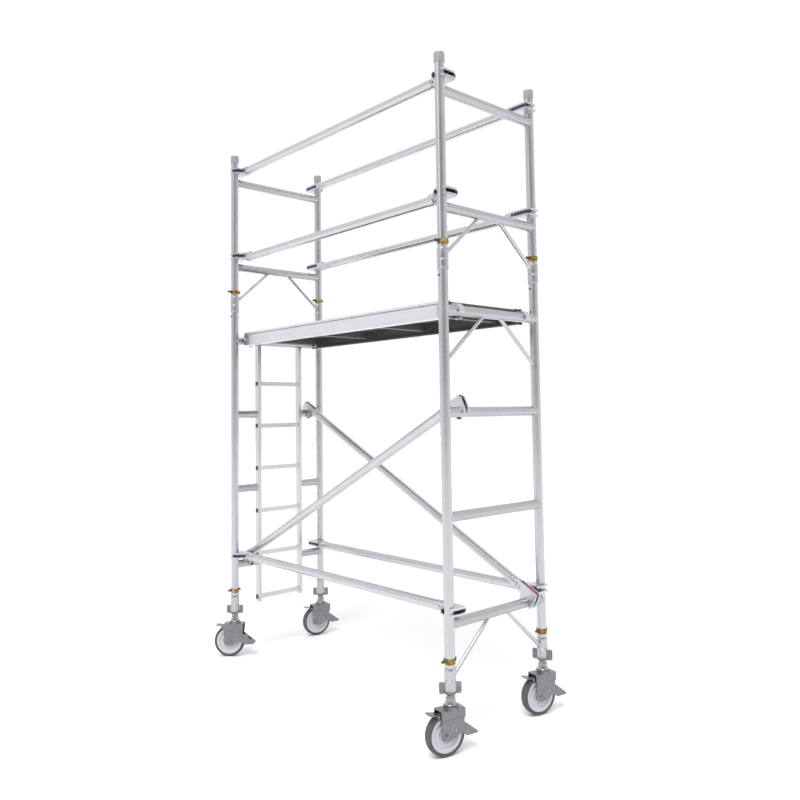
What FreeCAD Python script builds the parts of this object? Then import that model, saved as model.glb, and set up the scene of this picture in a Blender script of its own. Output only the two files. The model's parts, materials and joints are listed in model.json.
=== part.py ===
import FreeCAD
import Part
import math
import os
import Sketcher

# Mobile aluminium scaffold tower: two end frames in two lifts on four adjustable
# castor legs, joined by hooked braces, with a hatch platform at the fourth rung.
#
# Frame of the part: origin on the floor at the plan centre of the four posts,
# +X along the platform towards the frame without the ladder, +Y across the
# tower towards its back, +Z up.  All sizes are in millimetres.

os.makedirs("parts", exist_ok=True)
doc = FreeCAD.newDocument("scaffold_tower")
V = FreeCAD.Vector

# ---------------------------------------------------------------- sizes

SIZES = {
    # plan and heights of the tower
    "frame_span": 2000.0,        # left posts to right posts, centre to centre
    "frame_width": 700.0,        # front posts to back posts, centre to centre
    "base_height": 290.0,        # underside of the lower sleeves above the floor
    "lower_module": 2000.0,      # height of a lower frame, sleeve end to sleeve end
    "upper_height": 1080.0,      # upper post's top above the joint
    "first_rung": 305.0,         # first rung's axis above the lower sleeve's end
    "rung_pitch": 500.0,
    "rail_rung": 325.0,          # upper frame's lower rung above the joint
    "top_rung": 900.0,           # upper frame's top rung above the joint
    # posts, sleeves and rungs
    "post_radius": 25.0,
    "post_wall": 2.0,
    "sleeve_radius": 29.0,
    "sleeve_length": 96.0,
    "sleeve_taper": 12.0,
    "spigot_length": 84.0,       # post's top inside the sleeve above it
    "spigot_gap": 4.0,           # from there to the next post's foot
    "socket_clearance": 0.1,     # sleeve bore over the post
    "rung_radius": 25.0,
    "rung_wall": 2.0,
    # knee braces under the rungs
    "knee_radius": 10.0,
    "knee_wall": 1.5,
    "knee_reach": 302.0,         # post's axis to the crossing with the rung's axis
    "knee_drop": 262.0,          # rung's axis to the crossing with the post's axis
    # climbing ladder inside the left frame
    "stile_offset": 167.0,
    "stile_depth": 38.0,
    "stile_width": 25.0,
    "stile_wall": 2.5,
    "stile_tail": 33.0,          # stile below the lowest ladder rung's axis
    "ladder_pitch": 290.0,
    "ladder_rung_side": 28.0,
    "ladder_rung_wall": 2.0,
    "plug_side": 26.0,
    "plug_thickness": 3.0,
    "plug_depth": 9.0,
    # caps and interlock clips
    "cap_radius": 27.5,
    "cap_height": 54.0,
    "cap_top": 5.0,
    "clip_gap": 14.0,            # clip above the sleeve's end
    "clip_radius": 30.0,
    "clip_height": 27.0,
    "lug_reach": 40.0,
    "lug_width": 16.0,
    "lug_height": 18.0,
    "knob_radius": 6.5,
    "knob_length": 13.0,
    # braces
    "brace_radius": 25.0,
    "brace_wall": 1.8,
    "rail_rise": 60.0,           # brace's axis above the rung's axis
    "top_rail_rise": 75.0,
    "diagonal_inset": 110.0,     # diagonal brace inside the posts' plane
    # claws at the braces' ends
    "claw_offset": 50.0,         # brace's axis to the held tube's axis
    "claw_tail": 95.0,
    "claw_nose": 43.0,
    "claw_half_height": 19.5,
    "claw_back": 25.0,
    "claw_slot": 9.0,
    "claw_web": 12.0,
    "prong_reach": 66.0,
    "claw_clearance": 0.4,       # mouth round the held tube
    "spigot_clearance": 0.1,     # claw's spigot in the brace tube
    "claw_spigot": 35.0,
    "pawl_pin_radius": 4.0,
    "pawl_pin_place": 60.0,
    "pawl_pin_clearance": 0.08,
    "pawl_half_thickness": 8.0,
    "pawl_gap": 4.0,             # pawl's nose clear of the held tube
    # platform
    "deck_half_width": 300.0,
    "deck_rise": 55.0,           # beam's top above the fourth rung's axis
    "beam_height": 88.0,
    "beam_wall": 3.0,
    "beam_flange": 26.0,
    "beam_lip": 10.0,
    "beam_bead": 2.0,
    "beam_end_gap": 42.0,        # beam's end to the posts' plane
    "board_thickness": 12.0,
    "board_drop": 6.0,           # board's top below the beam's top
    "board_clearance": 0.5,
    "board_joint": 0.5,          # between the plain sheet and the one with the hatch
    "cross_width": 40.0,
    "cross_wall": 2.5,
    "cross_below": 6.0,          # cross beam's underside below the side beam
    "cross_height": 44.0,
    "cross_foot": 90.0,          # length of the foot under each cross beam's end
    "hatch_beam": 335.0,         # hatch's inner cross beam left of the centre
    "cross_pitch": 565.0,
    "hatch_half_width": 232.0,
    "hatch_gap": 3.0,            # door to the board all round
    "hatch_rest": 18.0,          # board's hole past the edge of the beams under it
    "door_lift": 0.4,
    "hinge_place": 190.0,        # hinge left and right of the door's middle
    "hinge_length": 20.0,
    "hinge_gap": 0.5,
    "hinge_radius": 5.0,
    "hinge_rise": 5.5,           # hinge's axis above the board's top
    "hinge_pin_radius": 2.5,
    "hinge_pin_clearance": 0.08,
    "leaf_thickness": 2.4,
    "leaf_width": 26.0,
    # platform's hooks and wind locks
    "hook_width": 36.0,
    "hook_wall": 11.0,
    "hook_clearance": 0.4,
    "hook_depth": 18.0,          # hook's block below the rung's axis
    "hook_lip": 12.0,            # hook's outer lip below the rung's axis
    "hook_tail": 34.0,           # hook's tail past the end of the side beam
    "lock_thickness": 5.0,
    "lock_gap": 0.6,
    "lock_pin_radius": 3.0,
    "lock_pin_clearance": 0.08,
    "lock_reach": 35.0,          # lock's pivot inside the rung's axis
    "lock_drop": 8.0,
    # adjustable legs
    "leg_radius": 19.0,
    "leg_wall": 4.0,
    "leg_rise": 440.0,           # leg tube's top above the lower sleeve's end
    "flare_radius": 26.0,
    "flare_neck": 21.0,
    "flare_skirt": 18.0,
    "flare_height": 37.0,
    "nut_gap": 0.5,
    "nut_height": 17.0,
    "nut_radius": 28.0,
    "nut_foot": 23.0,
    "nut_clearance": 0.1,
    "wing_reach": 54.0,
    "wing_rise": 40.0,           # wing's top above the sleeve's end
    "wing_clearance": 1.0,
    "wing_thickness": 6.0,
    # castors
    "wheel_radius": 100.0,
    "wheel_width": 46.0,
    "tyre_depth": 17.0,
    "axle_radius": 6.0,
    "axle_clearance": 0.08,
    "axle_head": 10.0,
    "axle_head_height": 6.0,
    "castor_trail": 34.0,
    "fork_top": 213.0,
    "fork_crease": 170.0,
    "fork_foot": 76.0,
    "fork_half_width": 35.0,
    "fork_step": 2.5,
    "fork_wall": 4.0,
    "fork_tail": 70.0,
    "fork_nose": 60.0,
    "bearing_radius": 36.0,
    "bearing_height": 12.0,
    "bearing_gap": 0.4,
    "stem_radius": 9.0,
    "stem_clearance": 0.05,
    "stem_height": 27.0,
    "cheek_gap": 1.0,            # brake lever's cheek beside the tyre
    "cheek_wall": 3.0,
    "lever_pivot": 8.0,          # brake lever's pivot in front of the swivel's axis
    "lever_height": 122.0,
    "lever_half_width": 27.0,
    "lever_pin_radius": 4.0,
    "lever_pin_clearance": 0.08,
    "brake_bar_radius": 5.0,
    "brake_bar_place": 75.0,     # brake bar in front of the swivel's axis
    "brake_bar_height": 87.0,
}

sheet = doc.addObject("Spreadsheet::Sheet", "Sizes")
for row, (alias, number) in enumerate(SIZES.items(), start=1):
    sheet.set("A%d" % row, alias)
    sheet.set("B%d" % row, str(number))
    sheet.setAlias("B%d" % row, alias)
doc.recompute()


class Dim:
    """A length that is a number and also the sheet formula that gives it."""

    def __init__(self, value, formula):
        self.value = value
        self.formula = formula

    def __add__(self, other):
        other = dim(other)
        return Dim(self.value + other.value, "(%s + %s)" % (self.formula, other.formula))

    def __radd__(self, other):
        return dim(other) + self

    def __sub__(self, other):
        other = dim(other)
        return Dim(self.value - other.value, "(%s - %s)" % (self.formula, other.formula))

    def __rsub__(self, other):
        return dim(other) - self

    def __mul__(self, other):
        other = dim(other)
        return Dim(self.value * other.value, "(%s * %s)" % (self.formula, other.formula))

    __rmul__ = __mul__

    def __truediv__(self, other):
        other = dim(other)
        return Dim(self.value / other.value, "(%s / %s)" % (self.formula, other.formula))

    def __neg__(self):
        return self * -1


def dim(thing):
    """A Dim from a Dim, a plain number or a size's name."""
    if isinstance(thing, Dim):
        return thing
    if isinstance(thing, str):
        return Dim(SIZES[thing], "Sizes.%s" % thing)
    return Dim(float(thing), "%s" % float(thing))


def bind(item, **sizes):
    """Bind properties of an object to sheet formulas."""
    for name, size in sizes.items():
        size = dim(size)
        setattr(item, name, size.value)
        item.setExpression(name, size.formula)


def place(item, spot, turn=None):
    """Put an object at a spot of three Dims, turned by a fixed rotation."""
    spot = [dim(part) for part in spot]
    turn = turn or FreeCAD.Rotation()
    item.Placement = FreeCAD.Placement(V(*[part.value for part in spot]), turn)
    for letter, part in zip("xyz", spot):
        item.setExpression(".Placement.Base.%s" % letter, part.formula)


# Sides of the tower, as signs along X and Y, and the four corners.
RIGHT, LEFT, BACK, FRONT = 1, -1, 1, -1
CORNERS = {
    "right_front": (RIGHT, FRONT),
    "right_back": (RIGHT, BACK),
    "left_front": (LEFT, FRONT),
    "left_back": (LEFT, BACK),
}

# Rotations that lay a cylinder's Z axis along X or Y.
ALONG_X = FreeCAD.Rotation(V(0, 1, 0), 90)
ALONG_Y = FreeCAD.Rotation(V(1, 0, 0), -90)

half_span = dim("frame_span") / 2
half_width = dim("frame_width") / 2
joint_height = dim("base_height") + "lower_module"
post_top = joint_height + "upper_height"
first_rung = dim("base_height") + "first_rung"


def rung_height(number):
    """Height of a lower frame's rung axis, counted from 1."""
    return first_rung + dim("rung_pitch") * (number - 1)


rail_rung = joint_height + "rail_rung"
top_rung = joint_height + "top_rung"

# ---------------------------------------------------------------- building helpers


def group(name, members):
    """Gather separate solids into one compound object."""
    item = doc.addObject("Part::Compound", name)
    item.Links = members
    return item


def cut(name, base, tool):
    item = doc.addObject("Part::Cut", name)
    item.Base = base
    item.Tool = tool
    return item


def fuse(name, members):
    item = doc.addObject("Part::MultiFuse", name)
    item.Shapes = members
    return item


def cylinder(name, radius, height, spot, turn=None):
    item = doc.addObject("Part::Cylinder", name)
    bind(item, Radius=radius, Height=height)
    place(item, spot, turn)
    return item


def cone(name, low_radius, high_radius, height, spot):
    item = doc.addObject("Part::Cone", name)
    bind(item, Radius1=low_radius, Radius2=high_radius, Height=height)
    place(item, spot)
    return item


def box(name, low, high):
    """A box between two corners, each three Dims."""
    low = [dim(part) for part in low]
    high = [dim(part) for part in high]
    item = doc.addObject("Part::Box", name)
    bind(item, Length=high[0] - low[0], Width=high[1] - low[1], Height=high[2] - low[2])
    place(item, low)
    return item


def cylinders(name, radius, bars):
    """A compound of equal-radius cylinders, each (spot, turn, length)."""
    members = []
    for number, (spot, turn, length) in enumerate(bars):
        members.append(cylinder("%s_%d" % (name, number), radius, length, spot, turn))
    return group(name, members)


def boxes(name, pairs):
    """A compound of boxes, each a pair of corners."""
    members = []
    for number, (low, high) in enumerate(pairs):
        members.append(box("%s_%d" % (name, number), low, high))
    return group(name, members)


def finish(item, label):
    """Name a sub-part; its label is its file's name."""
    item.Label = label
    SUBPARTS.append(item)
    return item


SUBPARTS = []


def new_body(name):
    body = doc.addObject("PartDesign::Body", name)
    body.AllowCompound = True
    return body


def plane_of(body, role):
    """One of a body's own origin planes, such as XY_Plane."""
    for feature in body.Origin.OriginFeatures:
        if feature.Role == role:
            return feature
    raise ValueError(role)


def sketch_on(body, name, role, lift=None):
    """An empty sketch on one of the body's origin planes, lifted along its normal."""
    sketch = body.newObject("Sketcher::SketchObject", name)
    sketch.AttachmentSupport = [(plane_of(body, role), "")]
    sketch.MapMode = "FlatFace"
    if lift is not None:
        lift = dim(lift)
        sketch.AttachmentOffset = FreeCAD.Placement(V(0, 0, lift.value), FreeCAD.Rotation())
        sketch.setExpression(".AttachmentOffset.Base.z", lift.formula)
    return sketch


def fix(sketch, kind, first, second, size):
    """One driving dimension of a sketch, bound to its formula."""
    if size.value == 0 and kind in ("DistanceX", "DistanceY"):
        axis = -2 if kind == "DistanceX" else -1
        sketch.addConstraint(Sketcher.Constraint("PointOnObject", second[0], second[1], axis))
        return
    if kind == "Radius":
        number = sketch.addConstraint(Sketcher.Constraint("Radius", first[0], size.value))
    else:
        number = sketch.addConstraint(
            Sketcher.Constraint(kind, first[0], first[1], second[0], second[1], size.value)
        )
    sketch.renameConstraint(number, "size_%d" % number)
    sketch.setExpression("Constraints.size_%d" % number, size.formula)


def outline(sketch, points):
    """A closed outline through points, each a pair of Dims from the sketch's origin."""
    points = [(dim(across), dim(up)) for across, up in points]
    corners = [V(across.value, up.value, 0) for across, up in points]
    first = sketch.GeometryCount
    count = len(points)
    for number in range(count):
        sketch.addGeometry(Part.LineSegment(corners[number], corners[(number + 1) % count]), False)
    for number in range(count):
        here, following = first + number, first + (number + 1) % count
        sketch.addConstraint(Sketcher.Constraint("Coincident", here, 2, following, 1))
    for number, (across, up) in enumerate(points):
        fix(sketch, "DistanceX", (-1, 1), (first + number, 1), across)
        fix(sketch, "DistanceY", (-1, 1), (first + number, 1), up)


def circle(sketch, across, up, radius):
    """A circle with its centre given from the sketch's origin."""
    across, up, radius = dim(across), dim(up), dim(radius)
    here = sketch.addGeometry(
        Part.Circle(V(across.value, up.value, 0), V(0, 0, 1), radius.value), False
    )
    fix(sketch, "Radius", (here, 0), None, radius)
    fix(sketch, "DistanceX", (-1, 1), (here, 3), across)
    fix(sketch, "DistanceY", (-1, 1), (here, 3), up)


def pad(body, sketch, height, both_ways=False):
    feature = body.newObject("PartDesign::Pad", sketch.Name + "_pad")
    feature.Profile = sketch
    bind(feature, Length=height)
    feature.Midplane = both_ways
    body.Tip = feature
    return feature


def pocket(body, sketch, depth=None):
    """Cut a sketch through the solid, or to a depth each side of its plane."""
    feature = body.newObject("PartDesign::Pocket", sketch.Name + "_cut")
    feature.Profile = sketch
    feature.Midplane = True
    if depth is None:
        feature.Type = "ThroughAll"
    else:
        bind(feature, Length=depth)
    body.Tip = feature
    return feature


def revolve(body, sketch, axis):
    """Turn a profile a full turn about one of the sketch's own axes."""
    feature = body.newObject("PartDesign::Revolution", sketch.Name + "_turn")
    feature.Profile = sketch
    feature.ReferenceAxis = (sketch, [axis])
    feature.Angle = 360.0
    body.Tip = feature
    return feature


# ---------------------------------------------------------------- posts, sleeves and rungs


def post_spots(foot):
    """A point on each of the four posts' axes at one height."""
    return [(half_span * side, half_width * depth, foot) for side, depth in CORNERS.values()]


SLEEVE_ENDS = (dim("base_height"), joint_height)
post_lift = dim("spigot_length") + "spigot_gap"


def post_bars():
    """Axis, turn and length of every post's tube, lower and upper lift."""
    lower = [(spot, None, joint_height + "spigot_length" - SLEEVE_ENDS[0] - post_lift)
             for spot in post_spots(SLEEVE_ENDS[0] + post_lift)]
    upper = [(spot, None, post_top - SLEEVE_ENDS[1] - post_lift)
             for spot in post_spots(SLEEVE_ENDS[1] + post_lift)]
    return lower + upper


def sleeve_bars():
    return [(spot, None, dim("sleeve_length")) for end in SLEEVE_ENDS for spot in post_spots(end)]


def rung_bars():
    """Full rungs: four at the right, the top one at the left, two in each upper frame."""
    heights = [(RIGHT, rung_height(number)) for number in (1, 2, 3, 4)]
    heights += [(LEFT, rung_height(4))]
    heights += [(side, height) for side in (RIGHT, LEFT) for height in (rail_rung, top_rung)]
    return [((half_span * side, -half_width, height), ALONG_Y, dim("frame_width"))
            for side, height in heights]


def stub_bars():
    """Short rungs between the left posts and the ladder's stiles."""
    length = half_width - "stile_offset" - dim("stile_width") / 2
    bars = []
    for number in (1, 2, 3):
        height = rung_height(number)
        bars.append(((-half_span, -half_width, height), ALONG_Y, length))
        bars.append(((-half_span, half_width - length, height), ALONG_Y, length))
    return bars


def tubes(name, radius, wall, bars, *cutters):
    """Round tubes, with the solids they are coped against taken away."""
    radius = dim(radius)
    solid = cylinders(name + "_outside", radius, bars)
    hollow = cylinders(name + "_bore", radius - wall, bars)
    item = cut(name + "_walls", solid, hollow)
    for number, cutter in enumerate(cutters):
        item = cut("%s_cope_%d" % (name, number), item, cutter)
    return item


def make_posts_and_rungs():
    finish(tubes("posts", "post_radius", "post_wall", post_bars()), "frame_posts")

    straight = cylinders("sleeve_straight", "sleeve_radius", sleeve_bars())
    tapers = []
    for number, (spot, turn, length) in enumerate(sleeve_bars()):
        top = (spot[0], spot[1], spot[2] + length)
        tapers.append(cone("sleeve_taper_%d" % number, "sleeve_radius",
                           dim("post_radius") + 1.5, "sleeve_taper", top))
    bores = [(spot, turn, length + "sleeve_taper") for spot, turn, length in sleeve_bars()]
    outside = fuse("sleeve_outside", [straight, group("sleeve_tapers", tapers)])
    bore = cylinders("sleeve_bore", dim("post_radius") + "socket_clearance", bores)
    finish(cut("sleeves", outside, bore), "post_sleeves")

    solid_posts = cylinders("post_solids", "post_radius", post_bars())
    rungs = tubes("rungs", "rung_radius", "rung_wall", rung_bars() + stub_bars(), solid_posts)
    finish(rungs, "frame_rungs")
    return solid_posts


def make_knee_braces(solid_posts):
    """Slanted tubes from under a rung to the sleeve or post below it."""
    slope = dim("knee_reach") / "knee_drop"
    angle = math.degrees(math.atan(slope.value))
    length = Dim(math.hypot(SIZES["knee_reach"], SIZES["knee_drop"]),
                 "sqrt(Sizes.knee_reach ^ 2 + Sizes.knee_drop ^ 2)")
    places = [(RIGHT, rung_height(1)), (RIGHT, rung_height(4)), (RIGHT, rail_rung), (LEFT, rail_rung)]
    outer, inner = [], []
    for side, height in places:
        for depth in (FRONT, BACK):
            spot = (half_span * side, half_width * depth, height - "knee_drop")
            for members, radius in ((outer, dim("knee_radius")),
                                    (inner, dim("knee_radius") - "knee_wall")):
                bar = cylinder("knee_bar", radius, length, spot,
                               FreeCAD.Rotation(V(depth, 0, 0), angle))
                bar.setExpression(".Placement.Rotation.Angle", "atan(%s)" % slope.formula)
                members.append(bar)
    walls = cut("knee_walls", group("knee_outside", outer), group("knee_bore", inner))
    rung_solids = cylinders("knee_rungs", "rung_radius", rung_bars())
    sleeve_solids = cylinders("knee_sleeves", "sleeve_radius",
                              [(spot, turn, length + "sleeve_taper")
                               for spot, turn, length in sleeve_bars()])
    item = cut("knee_cope_rungs", walls, rung_solids)
    item = cut("knee_cope_sleeves", item, sleeve_solids)
    finish(cut("knee_cope_posts", item, solid_posts), "knee_braces")


# ---------------------------------------------------------------- ladder

LADDER_RUNGS = 6
ladder_foot = rung_height(4) - dim("ladder_pitch") * LADDER_RUNGS - "stile_tail"
stile_face = dim("stile_offset") + dim("stile_width") / 2


def ladder_rung_height(number):
    """Axis of a ladder rung, counted down from the frame's fourth rung."""
    return rung_height(4) - dim("ladder_pitch") * number


def stile_boxes(shrink, grow_ends):
    """The two stiles' boxes, made smaller by a wall in plan and longer at both ends."""
    pairs = []
    for depth in (FRONT, BACK):
        middle = dim("stile_offset") * depth
        half_x = dim("stile_depth") / 2 - shrink
        half_y = dim("stile_width") / 2 - shrink
        pairs.append(((-half_span - half_x, middle - half_y, ladder_foot - grow_ends),
                      (-half_span + half_x, middle + half_y, rung_height(4) + grow_ends)))
    return pairs


def ladder_rung_boxes(shrink, grow_ends):
    """The ladder rungs' boxes, made smaller by a wall in section and longer at both ends."""
    half = dim("ladder_rung_side") / 2 - shrink
    pairs = []
    for number in range(1, LADDER_RUNGS + 1):
        height = ladder_rung_height(number)
        pairs.append(((-half_span - half, -stile_face - grow_ends, height - half),
                      (-half_span + half, stile_face + grow_ends, height + half)))
    return pairs


def make_ladder():
    stiles = cut("stile_walls", boxes("stile_outside", stile_boxes(0, 0)),
                 boxes("stile_bore", stile_boxes("stile_wall", 1)))
    stiles = cut("stile_cope", stiles, cylinders("stile_rungs", "rung_radius", rung_bars()))
    rung_solids = boxes("stile_slots", ladder_rung_boxes(0, 1))
    finish(cut("stiles", stiles, rung_solids), "ladder_stiles")

    outside = boxes("ladder_rung_outside", ladder_rung_boxes(0, 0))
    bore = boxes("ladder_rung_bore", ladder_rung_boxes("ladder_rung_wall", 1))
    finish(cut("ladder_rung_walls", outside, bore), "ladder_rungs")

    heads, shanks = [], []
    head_half = dim("plug_side") / 2
    shank_half = dim("ladder_rung_side") / 2 - "ladder_rung_wall"
    for number in range(1, LADDER_RUNGS + 1):
        height = ladder_rung_height(number)
        for depth in (FRONT, BACK):
            face = stile_face * depth
            tip = (stile_face + "plug_thickness") * depth
            root = (stile_face - "plug_depth") * depth
            low, high = (tip, face) if depth == FRONT else (face, tip)
            heads.append(((-half_span - head_half, low, height - head_half),
                          (-half_span + head_half, high, height + head_half)))
            low, high = (face, root) if depth == FRONT else (root, face)
            shanks.append(((-half_span - shank_half, low, height - shank_half),
                           (-half_span + shank_half, high, height + shank_half)))
    plugs = fuse("plugs", [boxes("plug_heads", heads), boxes("plug_shanks", shanks)])
    finish(plugs, "ladder_rung_plugs")


# ---------------------------------------------------------------- caps and interlock clips


def make_caps():
    foot = post_top + "cap_top" - "cap_height"
    bars = [(spot, None, dim("cap_height")) for spot in post_spots(foot)]
    bores = [(spot, None, dim("cap_height") - "cap_top") for spot in post_spots(foot)]
    outside = cylinders("cap_outside", "cap_radius", bars)
    bore = cylinders("cap_bore", dim("post_radius") + "socket_clearance", bores)
    finish(cut("caps", outside, bore), "post_caps")


def make_interlock_clips():
    """A band round each post above its sleeve, with a lug each side and a knob on one."""
    feet = [end + "sleeve_length" + "sleeve_taper" + "clip_gap" for end in SLEEVE_ENDS]
    spots = [spot for foot in feet for spot in post_spots(foot)]
    bars = [(spot, None, dim("clip_height")) for spot in spots]
    half = dim("lug_width") / 2
    lugs = []
    for across, along, foot in spots:
        top = foot + "clip_height"
        lugs.append(((across - half, along - "lug_reach", top - "lug_height"),
                     (across + half, along + "lug_reach", top)))
    outside = fuse("clip_outside", [cylinders("clip_bands", "clip_radius", bars),
                                    boxes("clip_lugs", lugs)])
    bore = cylinders("clip_bore", dim("post_radius") + "socket_clearance", bars)
    finish(cut("clips", outside, bore), "interlock_clips")

    knobs = []
    for across, along, foot in spots:
        middle = foot + "clip_height" - dim("lug_height") / 2
        knobs.append(((across, along - "lug_reach" - "knob_length", middle), ALONG_Y,
                      dim("knob_length")))
    finish(cylinders("clip_knobs", "knob_radius", knobs), "interlock_knobs")


# ---------------------------------------------------------------- braces

RAILS = {
    "base": rung_height(1) + "rail_rise",
    "low_guard": rail_rung + "rail_rise",
    "top_guard": top_rung + "top_rail_rise",
}
DIAGONALS = {"front": RIGHT, "back": LEFT}      # the side on which the brace is high
LOW_RUNG, HIGH_RUNG = 1, 3

diagonal_rise = dim("rung_pitch") * (HIGH_RUNG - LOW_RUNG)
diagonal_length = Dim(
    math.hypot(SIZES["frame_span"], diagonal_rise.value),
    "sqrt(Sizes.frame_span ^ 2 + %s ^ 2)" % diagonal_rise.formula,
)
tilt = math.degrees(math.atan2(diagonal_rise.value, SIZES["frame_span"]))
tilt_cos = dim("frame_span") / diagonal_length
tilt_sin = diagonal_rise / diagonal_length


def rail_seats():
    """Name, origin and turn of the claw at each end of each horizontal brace.

    A claw's own frame has X outwards along the brace, Y away from its mouth and Z across.
    """
    seats = []
    for rail, height in RAILS.items():
        for depth_name, depth in (("front", FRONT), ("back", BACK)):
            for side_name, side in (("right", RIGHT), ("left", LEFT)):
                spot = (half_span * side, (half_width - "claw_offset") * depth, height)
                out, back = V(side, 0, 0), V(0, -depth, 0)
                turn = FreeCAD.Rotation(out, back, out.cross(back), "XYZ")
                seats.append(("%s_%s_%s" % (rail, depth_name, side_name), spot, turn))
    return seats


def diagonal_seats():
    """The same for the two diagonal braces, whose claws sit on rungs, mouth down."""
    seats = []
    lean, drop = dim("claw_offset") * tilt_sin, dim("claw_offset") * tilt_cos
    for depth_name, high_side in DIAGONALS.items():
        depth = FRONT if depth_name == "front" else BACK
        along = V(1, 0, high_side * diagonal_rise.value / SIZES["frame_span"]).normalize()
        back = V(-along.z, 0, along.x)
        for side_name, side in (("right", RIGHT), ("left", LEFT)):
            rung = rung_height(HIGH_RUNG if side == high_side else LOW_RUNG)
            spot = (half_span * side - lean * high_side,
                    (half_width - "diagonal_inset") * depth, rung + drop)
            out = along * side
            turn = FreeCAD.Rotation(out, back, out.cross(back), "XYZ")
            seats.append(("diagonal_%s_%s" % (depth_name, side_name), spot, turn))
    return seats


def make_brace_tubes():
    """Tubes between the claws' tails, horizontal and diagonal."""
    length = dim("frame_span") - dim("claw_tail") * 2
    outer, inner = [], []
    for height in RAILS.values():
        for depth in (FRONT, BACK):
            spot = (-(length / 2), (half_width - "claw_offset") * depth, height)
            outer.append(cylinder("rail_bar", "brace_radius", length, spot, ALONG_X))
            inner.append(cylinder("rail_bore", dim("brace_radius") - "brace_wall",
                                  length, spot, ALONG_X))
    length = diagonal_length - dim("claw_tail") * 2
    for name, spot, turn in diagonal_seats():
        if not name.endswith("left"):
            continue
        high_side = DIAGONALS["front" if "front" in name else "back"]
        start = (spot[0] + dim("claw_tail") * tilt_cos, spot[1],
                 spot[2] + dim("claw_tail") * tilt_sin * high_side)
        lie = FreeCAD.Rotation(V(0, 1, 0), 90 - tilt * high_side)
        slope = "(%s / Sizes.frame_span)" % diagonal_rise.formula
        for members, radius in ((outer, dim("brace_radius")),
                                (inner, dim("brace_radius") - "brace_wall")):
            bar = cylinder("diagonal_bar", radius, length, start, lie)
            bar.setExpression(".Placement.Rotation.Angle",
                              "90 deg - (%d) * atan(%s)" % (high_side, slope))
            members.append(bar)
    finish(cut("brace_walls", group("brace_outside", outer), group("brace_bore", inner)),
           "brace_tubes")


def claw_casting(name):
    """One claw: a spigot in the tube, and two plates with a round mouth and a slot between."""
    body = new_body(name)
    tail, nose, back = dim("claw_tail"), dim("claw_nose"), dim("claw_back")
    reach = dim("prong_reach")
    mouth = dim("post_radius") + "claw_clearance"
    plan = sketch_on(body, name + "_plan", "XY_Plane")
    outline(plan, [
        (-tail, -back + 3), (-tail, back - 3), (-tail + 20, back), (nose - 9, back),
        (nose, back - 11), (nose, -reach + 22), (nose - 5, -reach + 4), (nose - 11, -reach),
        (-mouth - 9, -reach), (-mouth - 19, -reach + 10), (-mouth - 27, -back - 5),
        (-tail + 25, -back + 3),
    ])
    pad(body, plan, dim("claw_half_height") * 2, both_ways=True)

    spigot = sketch_on(body, name + "_spigot", "YZ_Plane", -tail - "claw_spigot")
    circle(spigot, 0, 0, dim("brace_radius") - "brace_wall" - "spigot_clearance")
    pad(body, spigot, dim("claw_spigot") + 2)

    slot = sketch_on(body, name + "_slot", "XZ_Plane")
    outline(slot, [
        (-tail + "claw_web", -dim("claw_slot")), (nose + 1, -dim("claw_slot")),
        (nose + 1, "claw_slot"), (-tail + "claw_web", "claw_slot"),
    ])
    pocket(body, slot)

    seat = sketch_on(body, name + "_seat", "XY_Plane")
    circle(seat, 0, -dim("claw_offset"), mouth)
    pocket(body, seat)
    gate = sketch_on(body, name + "_gate", "XY_Plane")
    outline(gate, [
        (-mouth, -dim("claw_offset")), (-mouth, -reach - 1),
        (mouth, -reach - 1), (mouth, -dim("claw_offset")),
    ])
    pocket(body, gate)

    hole = sketch_on(body, name + "_pin_hole", "XY_Plane")
    circle(hole, -dim("pawl_pin_place"), 0, "pawl_pin_radius")
    pocket(body, hole)
    return body


def pawl(name):
    """Spring pawl: a thumb bar along the claw's back, and a nose that closes the mouth."""
    body = new_body(name)
    pin = -dim("pawl_pin_place")
    offset = dim("claw_offset")
    clear = dim("post_radius") + "pawl_gap"
    back, nose = dim("claw_back"), dim("claw_nose")
    plan = sketch_on(body, name + "_plan", "XY_Plane")
    outline(plan, [
        (pin - 12, -10), (pin - 12, 10), (pin, back - 3), (nose - 20, back - 3),
        (nose - 16, back + 3), (nose - 6, back + 3), (nose - 6, 12), (-20, 6),
        (-clear - 3, -offset + 14), (-clear - 3, -offset - 6), (-clear + 4, -offset - 17),
        (-clear + 12, -offset - 24), (-clear + 10, -offset - 29), (-clear - 3, -offset - 24),
        (-clear - 10, -offset - 10), (pin + 12, -28), (pin - 4, -12),
    ])
    pad(body, plan, dim("pawl_half_thickness") * 2, both_ways=True)
    hole = sketch_on(body, name + "_pin_hole", "XY_Plane")
    circle(hole, pin, 0, dim("pawl_pin_radius") + "pawl_pin_clearance")
    pocket(body, hole)
    return body


def make_claws():
    castings = []
    for name, spot, turn in rail_seats() + diagonal_seats():
        casting = claw_casting("claw_" + name)
        pin = cylinder("pin_" + name, "pawl_pin_radius", dim("claw_half_height") * 2,
                       (-dim("pawl_pin_place"), 0, -dim("claw_half_height")))
        claw = group("claw_set_" + name, [casting, pin])
        place(claw, spot, turn)
        castings.append(claw)
        latch = pawl("pawl_" + name)
        place(latch, spot, turn)
        finish(latch, "pawl_" + name)
    finish(group("claws", castings), "brace_claws")


# ---------------------------------------------------------------- platform

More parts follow.
